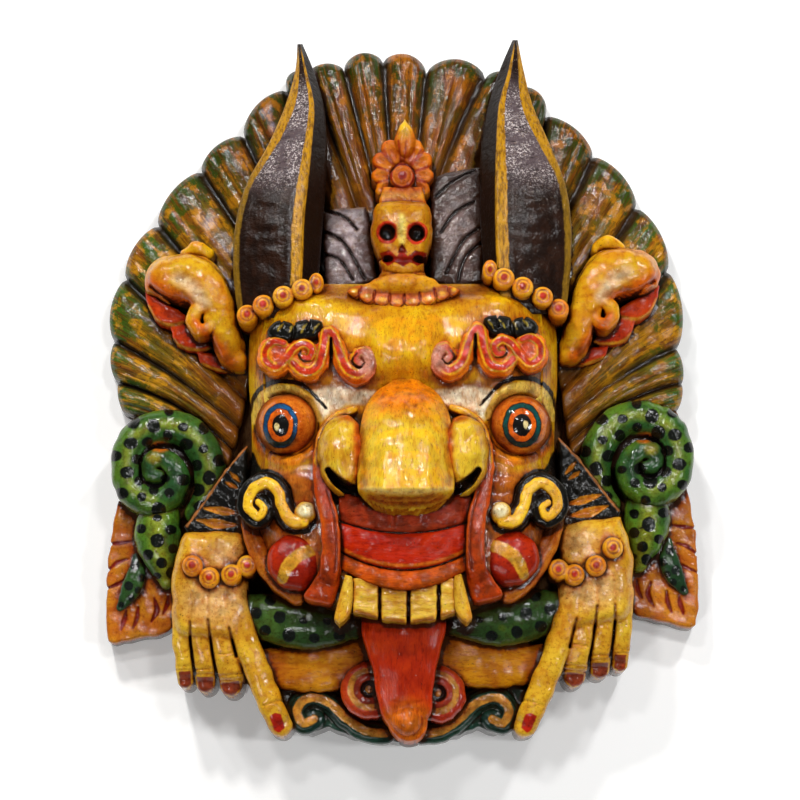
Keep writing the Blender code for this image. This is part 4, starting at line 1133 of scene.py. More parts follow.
def nose_wings():
    curl = ((328, 470, 3.4, 146), (336, 480, 5.5, 146), (348, 487, 5.5, 146), (358, 488, 3.5, 146))
    both(
        "nose_wing",
        lambda f: [Dome(*f([(342, 450)])[0], 25, 40, 153, 30, 96, power=2.5), Groove(f(curl), 8.0),
                   Uneven(0.4, 12.0, 9)],
        ((224, 186, 44), (204, 150, 28)),
        lambda f: [((206, 100, 16), [("line", f([(357, 410, 4), (358, 440, 4.5), (358, 478, 4)])),
                                     ("disc", *f([(352, 414)])[0], 15, 8)], 3.5),
                   ((16, 11, 8), [("line", f([row[:3] for row in curl]))], 1.2)],
        rise=0, step=0.9, streak=(1.8, 0.4, 1),
    )


def bands():
    upper = thin(CHEEK_BAND[:4], 4.0)
    lower = [(r[0] + 1, r[1], r[2] * 0.62) for r in CHEEK_BAND[4:]]
    inner = [(r[0] + 0.62 * r[2], r[1], 2.0, r[3]) for r in CHEEK_BAND[4:8]]
    both(
        "cheek_band",
        lambda f: [Ridge(f(CHEEK_BAND), 90, 0.4, 3.0),
                   Plate(f(BAND_FOOT), 126, 90, 4.0, curved=True, lean=(0, 0.2), blend=2.0),
                   Groove(f(inner), 1.8), Uneven(0.3, 12.0, 13)],
        ((184, 84, 10), (158, 58, 6)),
        lambda f: [((214, 158, 26), [("line", f(upper))], 1.6),
                   ((170, 58, 6), [("line", f(lower)), ("area", f(BAND_FOOT))], 3.6),
                   ((110, 34, 10), [("line", thin(f(inner), 1.2))], 1.4)],
        rise=2, step=0.9, coat=0.45,
    )
    bed = thin_deep(CHEEK_CURL, 11, 115)
    both("curl_ground", lambda f: [Ridge(f(bed), 96, 0.5, 2.6), Uneven(0.2, 8.0, 14)], BLACK, rise=0,
         step=0.9, wear=0.15, coat=0.35)
    both(
        "cheek_curl",
        lambda f: [Ridge(f(CHEEK_CURL), 100, 0.55, 2.4), Dome(*f([(305, 511)])[0], 10.5, 10.5, 128, 8, 100),
                   Uneven(0.2, 8.0, 15)],
        ((236, 190, 40), (216, 162, 28)),
        # The pale cream spot on the ball is a painted highlight.
        lambda f: [((240, 228, 180), [("disc", *f([(306, 510)])[0], 8, 7)], 2.5)],
        rise=0, step=0.7, wear=0.5,
    )
    both(
        "cheek",
        lambda f: [Dome(*f([(296, 560)])[0], 29, 27, 121, 15, 90, turn=slanted(f, -15), power=2.5),
                   Uneven(0.3, 12.0, 17)],
        ((172, 40, 6), (140, 26, 4)),
        lambda f: [((214, 156, 40),
                    [("line", f([(282, 579, 5.0), (289, 564, 6.4), (303, 553, 6.4), (324, 547, 5.4)]))],
                    1.0)],
        rise=4, step=0.9, coat=0.5,
    )
    both("jaw_fold", lambda f: [Ridge(f(JAW_FOLD), 52, 0.8), Groove(f(thin_deep(JAW_FOLD, 2.0, 92)), 1.6),
                                Uneven(0.3, 12.0, 19)],
         ((212, 134, 30), (188, 98, 20)), step=1.1)


# The lips: the arcs between them, as (height at the sides, height in the middle), from the nose down.
LIP_ARCS = ((492, 500), (521, 533), (551, 570), (570, 592))
LIP_HALF, LIP_MIDDLE, LIP_SWELLS = 66.0, 405.0, (2.6, 2.4, 2.8)


def lip_line(i, half, share=0.0):
    """An arc between the lips, or one a share of the way towards the next arc down."""
    side, middle = LIP_ARCS[i]
    if share:
        after = LIP_ARCS[i + 1]
        side, middle = side + share * (after[0] - side), middle + share * (after[1] - middle)
    return [(LIP_MIDDLE + LIP_HALF * t, middle + (side - middle) * t * t, half)
            for t in np.linspace(-1, 1, 9)]


def mouth():
    columns = []
    run = np.linspace(0.0, 3.0, 70)
    for t in np.linspace(-1.0, 1.0, 121):
        arcs = [middle + (side - middle) * t * t for side, middle in LIP_ARCS]
        v = np.interp(run, range(4), arcs)
        part, band = run % 1.0, np.minimum(run.astype(int), 2)
        z = 131.0 - 9.0 * t * t + np.sin(np.pi * part) ** 0.7 * np.take(LIP_SWELLS, band)
        z = z - 2.2 * np.exp(-(np.minimum(part, 1 - part) / 0.035) ** 2) + 1.2 * (run < 2)
        z = z - 1.4 * math.exp(-((t + 0.17) / 0.02) ** 2) * (run < 0.85)
        z = z - 8.0 * np.clip((run - 2.85) / 0.15, 0, 1)
        u = np.full(run.shape, LIP_MIDDLE + LIP_HALF * t)
        z = z + 0.4 * waves(u, v, 13.0, 23)
        top = world(u, v, z)
        columns.append(np.vstack([top, [[*top[-1][:2], 100.0], [*top[0][:2], 100.0]]]))
    piece = loft("lips", columns)
    layers = [
        ((162, 58, 26), [("area", [r[:2] for r in lip_line(0, 0)] + [r[:2] for r in lip_line(1, 0)][::-1])],
         1.5),
        ((198, 84, 8), [("area", [r[:2] for r in lip_line(2, 0)] + [r[:2] for r in lip_line(3, 0)][::-1])],
         1.5),
        ((212, 108, 22), [("line", lip_line(1, 1.6, 0.88))], 1.4),
        ((30, 10, 4), [("line", lip_line(1, 1.0)), ("line", lip_line(2, 1.0))], 0.6),
    ]
    finish_piece(piece,
                 varnish("lips", ((196, 46, 3), (176, 34, 3)), layers, streak=(0.4, 1.6, 1), coat=0.15),
                 layers)
    teeth = ((353, 378.5, 612, 618), (381, 407, 619.5, 622), (410, 437, 622, 619.5), (440.5, 456, 617, 612))
    make("teeth", [Plate(((a, 578), (b, 578), (b, d), (a, c)), 128, 90, 1.5) for a, b, c, d in teeth]
         + [Plate(((352, 572), (459, 572), (459, 606), (406, 616), (352, 606)), 121, 90, 2.0),
            Uneven(0.3, 8.0, 29)],
         ((216, 176, 52), (194, 148, 36)),
         [((120, 56, 14), [("line", [((b + c) / 2, 580, 2.2), ((b + c) / 2, 622, 2.2)])
                           for b, c in ((378.5, 381), (407, 410), (437, 440.5))], 1.2),
          ((150, 100, 34), [("line", [((a + b) / 2 - 9, c - 1.5, 2), ((a + b) / 2 + 9, d - 1.5, 2)])
                            for a, b, c, d in teeth], 2.0)], step=0.8, streak=(0.4, 1.6, 1))
    both("fang", lambda f: [Plate(f(FANG), 131, 94, 3.0, curved=True, swell=2.0)],
         ((218, 178, 54), (196, 148, 36)), rise=1, step=0.8)
    make("tongue", [Ridge(TONGUE, 20, 0.35, 3.4), Dome(407, 720, 15, 14, 103, 8, 60, power=2.4, blend=2.0),
                    Groove([(390, 701, 2.2, 100), (406, 704, 2.8, 100), (423, 701, 2.2, 100)], 1.3),
                    Uneven(0.6, 16.0, 31)],
         ((190, 56, 5), (164, 38, 4)), [((212, 106, 16), [("disc", 407, 727, 26, 26)], 9.0)], step=1.0,
         hollow=True, streak=(1.8, 0.35, 1), coat=0.25)


def ears():
    both(
        "ear",
        lambda f: [Plate(f(EAR), 68, 20, 8.0, curved=True), Ridge(f(EAR_BODY), 40, 0.75, 2.2, blend=6.0),
                   Ridge(f(EAR_CURL), 44, 0.9, blend=0.6),
                   Groove(f([(150, 286, 2.5, 70), (170, 298, 3, 74), (188, 303, 2.5, 76)]), 2.0),
                   Bowl(*f([(186, 280)])[0], 20, 9, 2.6, 84, turn=slanted(f, -25)), Uneven(0.4, 14.0, 33)],
        ((212, 164, 22), (204, 134, 16)),
        lambda f: [((210, 98, 8), [("line", f([(150, 284, 8), (172, 296, 9), (190, 300, 7)])),
                                     ("line", f([(196, 322, 6), (214, 344, 8), (230, 362, 8)]))], 7.0),
                   # The pale streak across the ear's middle is a painted highlight.
                   ((226, 196, 150), [("line", f([(178, 278, 5), (194, 288, 6), (204, 302, 5)]))], 6.0)],
        rise=6, step=0.9, wear=0.5, grain=0.2, coat=0.5,
    )
    scallops = (
        ((145, 290), (155, 295), (170, 304), (184, 313), (190, 321), (170, 325), (156, 319), (148, 306)),
        ((169, 322), (182, 320), (194, 331), (212, 346), (206, 350), (184, 348), (174, 340)),
        ((197, 352), (214, 353), (231, 364), (244, 372), (222, 371), (202, 364)),
    )
    both(
        "ear_scallops",
        lambda f: [Plate(f(rows), 58 - 4 * i, 18, 4.0, curved=True, lean=(0, 0.12))
                   for i, rows in enumerate(scallops)]
        + [Uneven(0.3, 9.0, 34)],
        ((204, 66, 6), (176, 44, 5)),
        lambda f: [((222, 156, 48), [("line", thin(f(rows[-4:]), 1.4)) for rows in scallops], 1.6)],
        rise=6, step=0.9, coat=0.4,
    )
    both("ear_tuft",
         lambda f: [Ridge(f([(186, 253, 6, 62), (197, 247, 7.5, 66), (208, 253, 6, 62)]), 30, 0.8),
                                Uneven(0.3, 9.0, 36)], YELLOW, rise=6, step=0.9)


def snake_spots(rows, gap, size, spread, seed):
    """Dark spots in turn on the outer side, the middle and the inner side of a body."""
    made = np.random.default_rng(seed)
    path = smooth(rows, 2.0)
    runs = np.concatenate([[0], np.cumsum(np.hypot(*np.diff(path[:, :2], axis=0).T))])
    spots = []
    for i, run in enumerate(np.arange(gap / 2, runs[-1], gap)):
        at = np.array([np.interp(run, runs, path[:, k]) for k in range(3)])
        ahead = np.array([np.interp(run + 1, runs, path[:, k]) for k in range(2)]) - at[:2]
        ahead = ahead / (np.hypot(*ahead) + 1e-6)
        for side in ((-0.75, 0.7) if i % 2 else (-0.02,)):
            off = side * at[2] * spread + made.uniform(-1, 1)
            wide = size * made.uniform(0.75, 1.2) * min(1.0, at[2] / 12.0)
            spots.append(("disc", at[0] - ahead[1] * off, at[1] + ahead[0] * off, wide,
                          wide * made.uniform(0.8, 1.1)))
    return spots


def snakes():
    both("coil_ground",
         lambda f: [Dome(*f([(158, 466)])[0], 38, 38, 44, 8, 6, power=4), Uneven(0.3, 10.0, 34)],
         ((24, 40, 24), (16, 28, 18)), rise=9, step=1.1)
    both(
        "coil",
        lambda f: [Ridge(f(COIL), 6, 0.95), Uneven(0.3, 10.0, 35)],
        SNAKE,
        lambda f: [((128, 146, 44), [("line", thin(f(COIL[1:9]), 4.0))], 5.0),
                   ((36, 74, 38), [("line", thin(f(COIL[9:]), 6.0))], 5.0),
                   ((198, 104, 20), [("disc", *f([(160, 447)])[0], 9, 5)], 2.5),
                   ((150, 140, 30), [("disc", *f([(154, 458)])[0], 6, 5)], 3.5),
                   ((10, 16, 9), snake_spots(f(COIL[:11]), 15.0, 6.4, 0.95, 41), 0.8)],
        rise=9, step=0.9,
    )
    both(
        "snake_tail",
        lambda f: [Ridge(f(SNAKE_TAIL), 6, 0.8), Uneven(0.3, 10.0, 37)],
        ((86, 128, 34), (50, 92, 32)),
        lambda f: [((132, 148, 38), [("line", thin(f(SNAKE_TAIL), 7.0))], 6.0),
                   ((10, 16, 9), snake_spots(f(SNAKE_TAIL), 11.5, 6.0, 0.9, 43), 0.8)], step=1.0,
    )
    both(
        "snake_body",
        lambda f: [Ridge(f(SNAKE_BODY), 30, 0.8), Uneven(0.4, 12.0, 39)],
        ((66, 100, 38), (42, 72, 30)),
        lambda f: [((14, 24, 18), snake_spots(f(SNAKE_BODY), 12.0, 6.0, 0.9, 45), 0.8)],
        rise=4, step=1.1, hollow=True,
    )


def plates():
    slashes = [((108, 544, 1.0), (120, 543, 2.4), (133, 541, 1.0)),
               ((108, 570, 1.0), (118, 562, 2.2), (128, 559, 1.0)),
               ((108, 588, 1.0), (117, 584, 2.2), (125, 580, 1.0)),
               ((121, 630, 1.0), (124, 620, 2.8), (126, 611, 1.0)),
               ((133, 628, 1.0), (137, 618, 2.8), (138, 607, 1.0)),
               ((151, 622, 1.0), (157, 610, 3.0), (154, 598, 1.0)),
               ((163, 614, 1.0), (167, 605, 2.4), (168, 596, 1.0))]
    both(
        "leaf_plate",
        lambda f: [Plate(f(LEAF_PLATE), 27, 0.6, 2.5, curved=True)]
        + [Groove(wider(f(s), 1.2, 28), 1.6) for s in slashes] + [Uneven(0.4, 12.0, 47)],
        ((200, 130, 22), (184, 100, 16)),
        lambda f: [((140, 34, 12), [("line", f(s)) for s in slashes], 0.9)],
        step=1.0,
    )
    leaf = ((136, 556, 3, 32), (136, 572, 9, 36), (130, 590, 9.5, 36), (120, 607, 4, 31))
    dots = ((135, 566, 4.5), (142, 578, 4), (129, 586, 4.5), (138, 590, 3.6), (131, 598, 3.6), (121, 605, 3))
    both("spotted_leaf", lambda f: [Ridge(f(leaf), 6, 0.5, 2.4), Uneven(0.2, 8.0, 48)],
         ((46, 82, 36), (28, 58, 32)),
         lambda f: [((14, 24, 18), [("disc", *row[:2], row[2], row[2] * 1.1) for row in f(dots)], 0.7)],
         step=0.9)
    cuts = (((204, 508, 0.6), (222, 511, 4.2), (238, 513, 0.6)),
            ((197, 520, 0.6), (217, 524, 5.0), (237, 525, 0.6)),
            ((230, 472, 0.5), (235, 477, 2.4), (240, 482, 0.5)),
            ((226, 482, 0.5), (231, 485, 2.4), (237, 488, 0.5)))
    edge = ((247, 446, 1.2), (226, 470, 1.4), (206, 499, 1.4), (187, 526, 1.2))
    both(
        "cuff",
        lambda f: [Plate(f(CUFF), 70, 20, 3.0)]
        + [Groove(wider(f(c), 0.8, 70), 1.6) for c in cuts] + [Uneven(0.3, 9.0, 51)],
        BLACK,
        lambda f: [((206, 138, 30), [("line", f(c)) for c in cuts], 0.9),
                   ((170, 110, 60), [("line", f(edge))], 0.9)],
        step=0.9, wear=0.2, coat=0.35,
    )


# Beads: of the bracelet (across, down, rise), and at the horn's foot (across, down, depth, width, rise)
BRACELET = ((192, 565, 18), (209, 577, 12), (231, 574, 0), (247, 565, -4))
HORN_BEADS = ((247, 314, 100, 10.5, 6), (263, 304, 108, 10.5, 8), (283, 295, 114, 10.5, 9),
              (302, 288, 116, 10.5, 11), (316, 282, 110, 7.5, 13))
BEAD = 10.5


def bead(u, v, depth, floor, wide):
    """A round bead with a ring cut round a raised dot. wide is its width as a share of its height."""
    return [Dome(u, v, BEAD * wide, BEAD, depth, 5, floor, power=2.4),
            Bowl(u, v, BEAD * 0.64 * wide, BEAD * 0.64, 2.0, depth),
            Bowl(u, v, BEAD * 0.46 * wide, BEAD * 0.46, -2.6, depth)]


def beads():
    gold = ((232, 168, 28), (214, 126, 16))
    for side in ("left", "right"):

        def flip(u, v, rise):
            return (u, v) if side == "left" else turned([(u, v)], rise)[0]

        strings = (("bracelet_", [(*flip(u, v, rise), 92, 10.2, 30) for u, v, rise in BRACELET]),
                   ("horn_beads_",
                    [(*flip(u, v, rise), depth, wide, 40) for u, v, depth, wide, rise in HORN_BEADS]))
        for name, places in strings:
            forms, dots, rings = [], [], []
            for u, v, depth, wide, thick in places:
                forms += bead(u, v, depth, depth - thick, wide / BEAD)
                dots.append(("disc", u, v, 0.33 * wide, 3.5))
                rings.append(("ring", u, v, 0.6 * wide, 6.3, 0.8))
            make(name + side, forms, gold, [((170, 84, 14), rings, 1.0), ((186, 42, 14), dots, 0.9)],
                 step=0.7, wear=0.5)


def hands():
    for side in ("left", "right"):
        right = side == "right"

        def flip(rows, i=3):
            """Places drawn on the left hand, or their answer on the right, for the finger i."""
            return turned(rows, (17, 14, 9, 0)[i]) if right else list(rows)

        wrist = turned(PALM) if right else PALM
        forms = [Plate(wrist, 79, 8, 9.0, curved=True, swell=4.0)]
        forms.append(Plate([flip([place[:2]], place[2])[0] for place in WEB], 61, 8, 2.0))
        forms += [Ridge(flip(finger, i), 8, 0.8, 2.4, blend=2.5 if i == 3 else 1.2)
                  for i, finger in enumerate(FINGERS)]
        gaps = [[(190, 622, 1.6, 76), (191, 646, 2.2, 68), (195, 674, 2.0, 62)],
                [(208, 620, 1.6, 78), (212, 650, 2.4, 70), (217, 678, 2.0, 64)],
                [(229, 628, 1.8, 78), (236, 656, 2.8, 72)]]
        forms += [Groove(flip(gap, i), 2.6) for i, gap in enumerate(gaps)]
        tendons = [[(192, 592, 2.4, 81), (190, 622, 2.4, 76)], [(209, 592, 2.4, 81), (208, 620, 2.4, 78)],
                   [(225, 594, 2.4, 81), (229, 628, 2.4, 78)]]
        forms += [Groove(flip(tendon, i), 0.8) for i, tendon in enumerate(tendons)]
        forms += [Groove(flip(crease, min(i // 2, 3) if i < 7 else 2), 1.2)
                  for i, crease in enumerate(CREASES)]
        forms.append(Uneven(0.4, 13.0, 53))
        red = [("area", flip(nail, i)) for i, nail in enumerate(NAILS)]
        lines = [("line", thin(flip(gap, i), 1.0)) for i, gap in enumerate(gaps)]
        # A pale patch on the back of the hand and wrist is a painted highlight; the dark lines down the
        # finger gaps are painted shade.
        layers = [((226, 178, 104),
                   [("disc", *flip([(214, 600)], 1)[0], 30, 20), ("disc", *flip([(228, 556)], 1)[0], 18, 14)],
                   13.0),
                  ((84, 46, 16), lines, 2.0), ((150, 62, 34), red[:3], 0.8), ((190, 34, 12), red[3:], 0.8)]
        make("hand_" + side, forms, SKIN, layers, step=1.0)


def low_forms():
    both("chin_roll", lambda f: [Ridge(f(CHIN_ROLL), 12, 0.45, 2.6), Uneven(0.6, 14.0, 55)],
         ((204, 138, 16), (172, 98, 10)), rise=4, step=1.1, hollow=True, streak=(0.4, 1.4, 1), coat=0.3)
    both("scroll",
         lambda f: [Plate(f(SCROLL), 47, 0.6, 2.0), Ridge(f(thin_deep(SCROLL_LINE, 10.5, 53)), 30, 0.6, 2.4),
                              Ridge(f(SCROLL_LINE), 40, 0.4), Uneven(0.3, 10.0, 57)],
         ((32, 68, 54), (22, 50, 42)),
         lambda f: [((204, 142, 48), [("line", thin(f(SCROLL_LINE), 4.2))], 0.9)], rise=0, step=1.0)

    def rose(f):
        place = f([(369, 689)])[0]
        rings = [Dome(*place, 28, 28, 77, 9, 20, power=3.0), Bowl(*place, 22, 22, 2.4, 77, power=6),
                 Bowl(*place, 16, 16, -2.4, 77, power=4), Bowl(*place, 9.5, 9.5, 4.0, 77, power=4)]
        return rings + [Dome(*place, 4, 4, 75, 3, 50), Uneven(0.3, 10.0, 59)]

    def rose_paint(f):
        place = f([(369, 689)])[0]
        return [((202, 140, 44), [("disc", *place, 21.5, 21.5)], 0.9),
                ((158, 50, 20), [("disc", *place, 15.5, 15.5)], 0.9),
                ((26, 18, 12), [("disc", *place, 9, 9)], 0.8),
                ((204, 146, 44), [("disc", *place, 3.6, 3.6)], 0.8)]

    both("rose", rose, ((186, 64, 22), (158, 42, 18)), rose_paint, rise=-4, step=0.9)


# The crown flower: its petals round the boss, as (angle in degrees, reach of the tip)
BOSS = (402.5, 175.5)
PETALS = ((114, 39), (144, 35), (178, 31), (213, 31), (66, 39), (36, 35), (2, 31), (-33, 31))


def flower_place(angle, reach):
    return BOSS[0] + reach * math.cos(math.radians(angle)), BOSS[1] - reach * math.sin(math.radians(angle))


def crown():
    forms = [Dome(*BOSS, 22, 22, 76, 6, 34)]
    rims = []
    for angle, reach in PETALS:
        middle, half = (reach + 9) / 2, (reach - 9) / 2
        leaf = [flower_place(angle + turn, share * reach) for turn, share in
                ((-30, 0.4), (-23, 0.66), (-16, 0.88), (-4, 1.01), (4, 1.01), (16, 0.88), (23, 0.66),
                 (30, 0.4))]
        forms.append(Plate(leaf, 77, 34, 3.0, curved=True, swell=2.0))
        forms.append(Bowl(*flower_place(angle, middle + 1), half - 4, 4.4, 1.8, 79, turn=angle))
        rims += [("line",
                  [(*flower_place(angle + turn, reach * 0.9), 1.1), (*flower_place(angle + turn, 14), 1.0)])
                 for turn in (-17.5, 17.5)]
    tip = ((405, 117), (412, 128), (416, 140), (413, 151), (405, 158), (397, 151), (394, 140), (398, 128))
    forms += [Plate(tip, 80, 34, 4.0, curved=True, swell=3.0), Dome(*BOSS, 12.5, 12.5, 90, 6, 40, power=2.6),
              Bowl(*BOSS, 10.2, 10.2, 2.6, 90, power=4), Bowl(*BOSS, 8.6, 8.6, -2.8, 90, power=3),
              Bowl(*BOSS, 4.2, 4.2, 1.2, 90),
              Plate(((383, 186), (422, 186), (426, 200), (427, 206), (378, 206), (379, 200)), 86, 40, 3.0),
              Uneven(0.25, 8.0, 61)]
    make("crown", forms, ((196, 112, 10), (172, 80, 8)),
         [((150, 44, 14), rims, 1.2), ((228, 184, 40), [("disc", 405, 124, 8, 12)], 5.0),
          ((216, 150, 40), [("line", ((380, 196, 3), (403, 196, 3), (427, 196, 3)))], 4.0),
          ((132, 30, 12), [("ring", *BOSS, 11.4, 11.4, 1.2), ("disc", *BOSS, 4.4, 4.4)], 0.8)], step=0.8,
         wear=0.5, coat=0.4)
    grin = ((380, 253), (389, 250), (397, 256), (402, 249), (408, 256), (415, 250), (427, 253), (425, 262),
            (418, 266), (410, 262), (403, 267), (395, 262), (388, 266), (382, 262))
    head = ((373, 211), (377, 202), (390, 199.5), (402, 199), (414, 199.5), (427, 202), (431, 211),
            (432, 232), (429, 247),
            (425, 258), (424, 270), (427, 284), (379, 284), (381, 270), (379, 258), (375, 247), (371, 232))
    skull = [Plate(head, 95, 44, 7.0, curved=True, swell=6.0), Dome(402, 226, 24, 20, 102, 7, 60, blend=4.0),
             Bowl(387.5, 232.5, 9, 9, 8.0, 98, power=4), Bowl(416.5, 233, 9, 9, 8.0, 98, power=4),
             Bowl(402, 249, 4, 5, 3.0, 98),
             Groove(((382, 257, 4, 98), (403, 261, 5, 98), (425, 257, 4, 98)), 2.0),
             Bowl(388, 259, 6, 4.5, 4.0, 98), Bowl(418, 259, 6, 4.5, 4.0, 98),
             Groove(((384, 270, 1.6, 98), (403, 275, 2, 98), (423, 270, 1.6, 98)), 1.4),
             Bowl(384, 248, 7, 6, -2.0, 98), Bowl(421, 248, 7, 6, -2.0, 98), Uneven(0.3, 9.0, 63)]
    make("skull", skull, ((194, 140, 18), (178, 112, 12)),
         [((192, 50, 20), [("disc", 387.5, 232.5, 11.4, 11.4), ("disc", 416.5, 233, 11.4, 11.4)], 0.8),
          # A pale stripe down the middle of the skull's face is a painted highlight.
          ((232, 208, 96), [("line", ((402, 216, 3), (402, 232, 4), (402, 244, 2)))], 3.0),
          ((146, 26, 8), [("area", grin)], 0.8),
          ((20, 8, 5), [("disc", 388, 258.5, 5.4, 3.6), ("disc", 418, 258.5, 5.4, 3.6)], 0.8),
          ((120, 30, 10), [("area", ((402, 243), (397, 253), (408, 253)))], 0.8),
          ((150, 92, 30), [("line", ((387, 271, 1), (403, 276, 1.4), (420, 271, 1)))], 1.2),
          ((14, 16, 12), [("disc", 387.5, 232.5, 7.8, 8.2), ("disc", 416.5, 233, 7.8, 8.2)], 0.8)], step=0.8,
         wear=0.5, coat=0.3)
    petals = ((354, 291.5, 8), (367, 297, 9), (382, 300.5, 9.5), (397, 302, 9), (412, 302, 9.5),
              (428, 299.5, 9.5), (442, 295, 8.5), (454, 290.5, 7))
    skirt = ((381, 277), (370, 283), (352, 286), (346, 291), (356, 298), (370, 304), (388, 307), (404, 307.5),
             (420, 307), (436, 303), (450, 297), (461, 290), (455, 286), (438, 283), (427, 277))
    lines = []
    for a, b in zip(petals, petals[1:]):
        across, down = (a[0] + b[0]) / 2, (a[1] + b[1]) / 2
        lines.append(((across + 0.06 * (across - 403), down + 6, 1.6, 116), (across, down - 8, 1.2, 114)))
    leaves = [((u - wide + 1, v - 7), (u - wide + 1, v), (u, v + 6.5), (u + wide - 1, v),
               (u + wide - 1, v - 7))
              for u, v, wide in petals]
    make("collar",
         [Plate(skirt, 113.5, 66, 3.0, curved=True, lean=(0, -0.15)),
          Dome(403, 281, 27, 10, 120, 10, 66, blend=5.0)]
         + [Groove(line, 1.4) for line in lines] + [Uneven(0.25, 8.0, 65)],
         ((212, 152, 20), (186, 108, 12)),
         [((150, 60, 10), [("line", [(u, v - 7, 2.6) for u, v, wide in petals])], 3.0),
          ((208, 104, 12), [("area", tips) for tips in leaves], 1.4),
          # A yellow spot in each petal's middle is a painted highlight.
          ((226, 168, 30), [("disc", u, v - 1, wide - 5, 2.2) for u, v, wide in petals], 1.6),
          ((118, 30, 6), [("line", thin(tips, 0.9)) for tips in leaves], 0.8)], step=0.8, coat=0.45)
    crown_leaves()


def crown_leaves():
    """The dark leaves on both sides of the skull, the right one taller, each with a painted violet-grey
    sheen.
    """
    left = ((322, 211), (334, 206), (366, 205), (372, 236), (377, 282), (345, 292), (325, 288))
    right = ((431, 176), (452, 168), (482, 164), (484, 230), (483, 284), (456, 288), (430, 284))
    cuts_left = (((326, 209, 1.2), (345, 217, 2.4), (357, 229, 1.2)),
                 ((323, 230, 1.2), (344, 243, 2.6), (365, 279, 1.4)),
                 ((325, 254, 1.2), (340, 260, 2.6), (353, 280, 1.4)))
    cuts_right = (((475, 169, 2.0), (454, 180, 3.4), (436, 196, 2.0)),
                  ((474, 201, 1.2), (455, 212, 2.4), (441, 232, 1.2)),
                  ((482, 226, 1.4), (463, 241, 2.6), (446, 274, 1.4)),
                  ((482, 242, 1.4), (465, 258, 2.6), (458, 282, 1.4)))
    for side, outline, cuts, tint in (("left", left, cuts_left, (158, 142, 146)),
                                      ("right", right, cuts_right, (112, 94, 92))):
        # A broad violet-grey patch on each leaf is a painted sheen, paler on the left leaf than on the right.
        layers = [(tint, [("disc", *np.mean(outline, axis=0), 18, 38)], 18.0),
                  ((24, 13, 7), [("line", thin(cut, 1.5)) for cut in cuts], 0.9)]
        forms = [Plate(outline, 66, 30, 3.5, swell=2.0, lean=(0, -0.12))]
        forms += [Groove(wider(cut, 1.0, 68), 3.4) for cut in cuts]
        make("crown_leaf_" + side, forms + [Uneven(0.4, 8.0, 67)], ((82, 58, 48), (48, 33, 30)), layers,
             step=1.0, gloss=0.1, coarse=1.0, warm=(150, 100, 70), coat=1.0)


# The wall round the hollow: how thick it is and where it ends
LINING, LINING_TOP = 4.0, 90.0


def back_board():
    """The sawn back: the ground behind the carving, and the wall round the dug-out hollow."""
    outline = list(GROUND) + turned(GROUND[:-1][::-1])

    class Lining:
        """The wall round the hollow."""

        low, high, blend = np.array([-104.0, -166.0, -2.0]), np.array([104.0, 62.0, 94.0]), 0.0

        def value(self, x, y, z):
            field = hollow_field(*np.broadcast_arrays(x, y), z) - LINING
            return np.maximum(np.maximum(field, z - LINING_TOP), -z)

    make("back_board", [Plate(outline, 18, 0, 1.5), Plate(fan_rim[::4] + [fan_rim[-1]], 9, 0, 1.5), Lining(),
                        Uneven(0.3, 18.0, 71)],
         ((184, 142, 96), (152, 110, 68)), step=1.8, hollow=True, wash=0.3, cover=0.4, wear=0.2, gloss=0.45,
         streak=(2.0, 0.25, 1), coat=0.0, grain=0.8)


# The map of heights: its half sides and cell in millimetres, the depth of a gap to close, two blurs in cells,
# and for each blur the depth of a full cut and its part in the whole.
MAP_HALF, CELL, GAP = (225.0, 270.0), 1.2, 60
BLURS, FULL_CUTS, PARTS = (1.3, 6.0), (4.0, 22.0), (0.65, 0.35)
CAVITY_SHARES = {"face": 0.6, "fan": 0.8}


def measure_cuts():
    """How deep each place lies below its surroundings, for the glaze and painted shade in the cuts and the
    worn edges.
    """
    high = np.array(MAP_HALF)
    low = -high
    count = ((high - low) / CELL).astype(int) + 1
    top = np.zeros(count)
    clouds = []
    for piece in pieces:
        places = vertex_places(piece) * MM
        index = ((places[:, :2] - low) / CELL).astype(int)
        clouds.append((piece, places, index))
        np.maximum.at(top, (index[:, 0], index[:, 1]), places[:, 2])
    for _ in range(2):
        grown = np.max([np.roll(top, (i, j), (0, 1)) for i in (-1, 0, 1) for j in (-1, 0, 1)], axis=0)
        top = np.where(top < grown - GAP, grown, top)
        top = np.where(top == 0, grown, top)

    def blurred(sigma):
        reach = int(3 * sigma)
        weights = np.exp(-0.5 * (np.arange(-reach, reach + 1) / sigma) ** 2)
        weights /= weights.sum()
        made = np.apply_along_axis(lambda row: np.convolve(row, weights, mode="same"), 0, top)
        return np.apply_along_axis(lambda row: np.convolve(row, weights, mode="same"), 1, made)

    maps = [blurred(sigma) for sigma in BLURS]
    for piece, places, index in clouds:
        small, broad = (np.clip((level[index[:, 0], index[:, 1]] - places[:, 2]) / full, -1, 1)
                        for level, full in zip(maps, FULL_CUTS))
        add_field(piece, "cavity", (PARTS[0] * small + PARTS[1] * broad) * CAVITY_SHARES.get(piece.name, 1.0))


# The share of its triangles that each piece keeps. Flat and hidden stretches give up most of theirs.
KEPT_SHARE = 0.33
KEPT_SHARES = {
    "back_board": 0.05, "face": 0.7, "fan": 0.8, "hand_left": 0.27, "hand_right": 0.27, "coil_left": 0.27,
    "coil_right": 0.27, "nose": 1.0, "lips": 1.0, "horn_left": 1.0, "horn_right": 1.0,
}


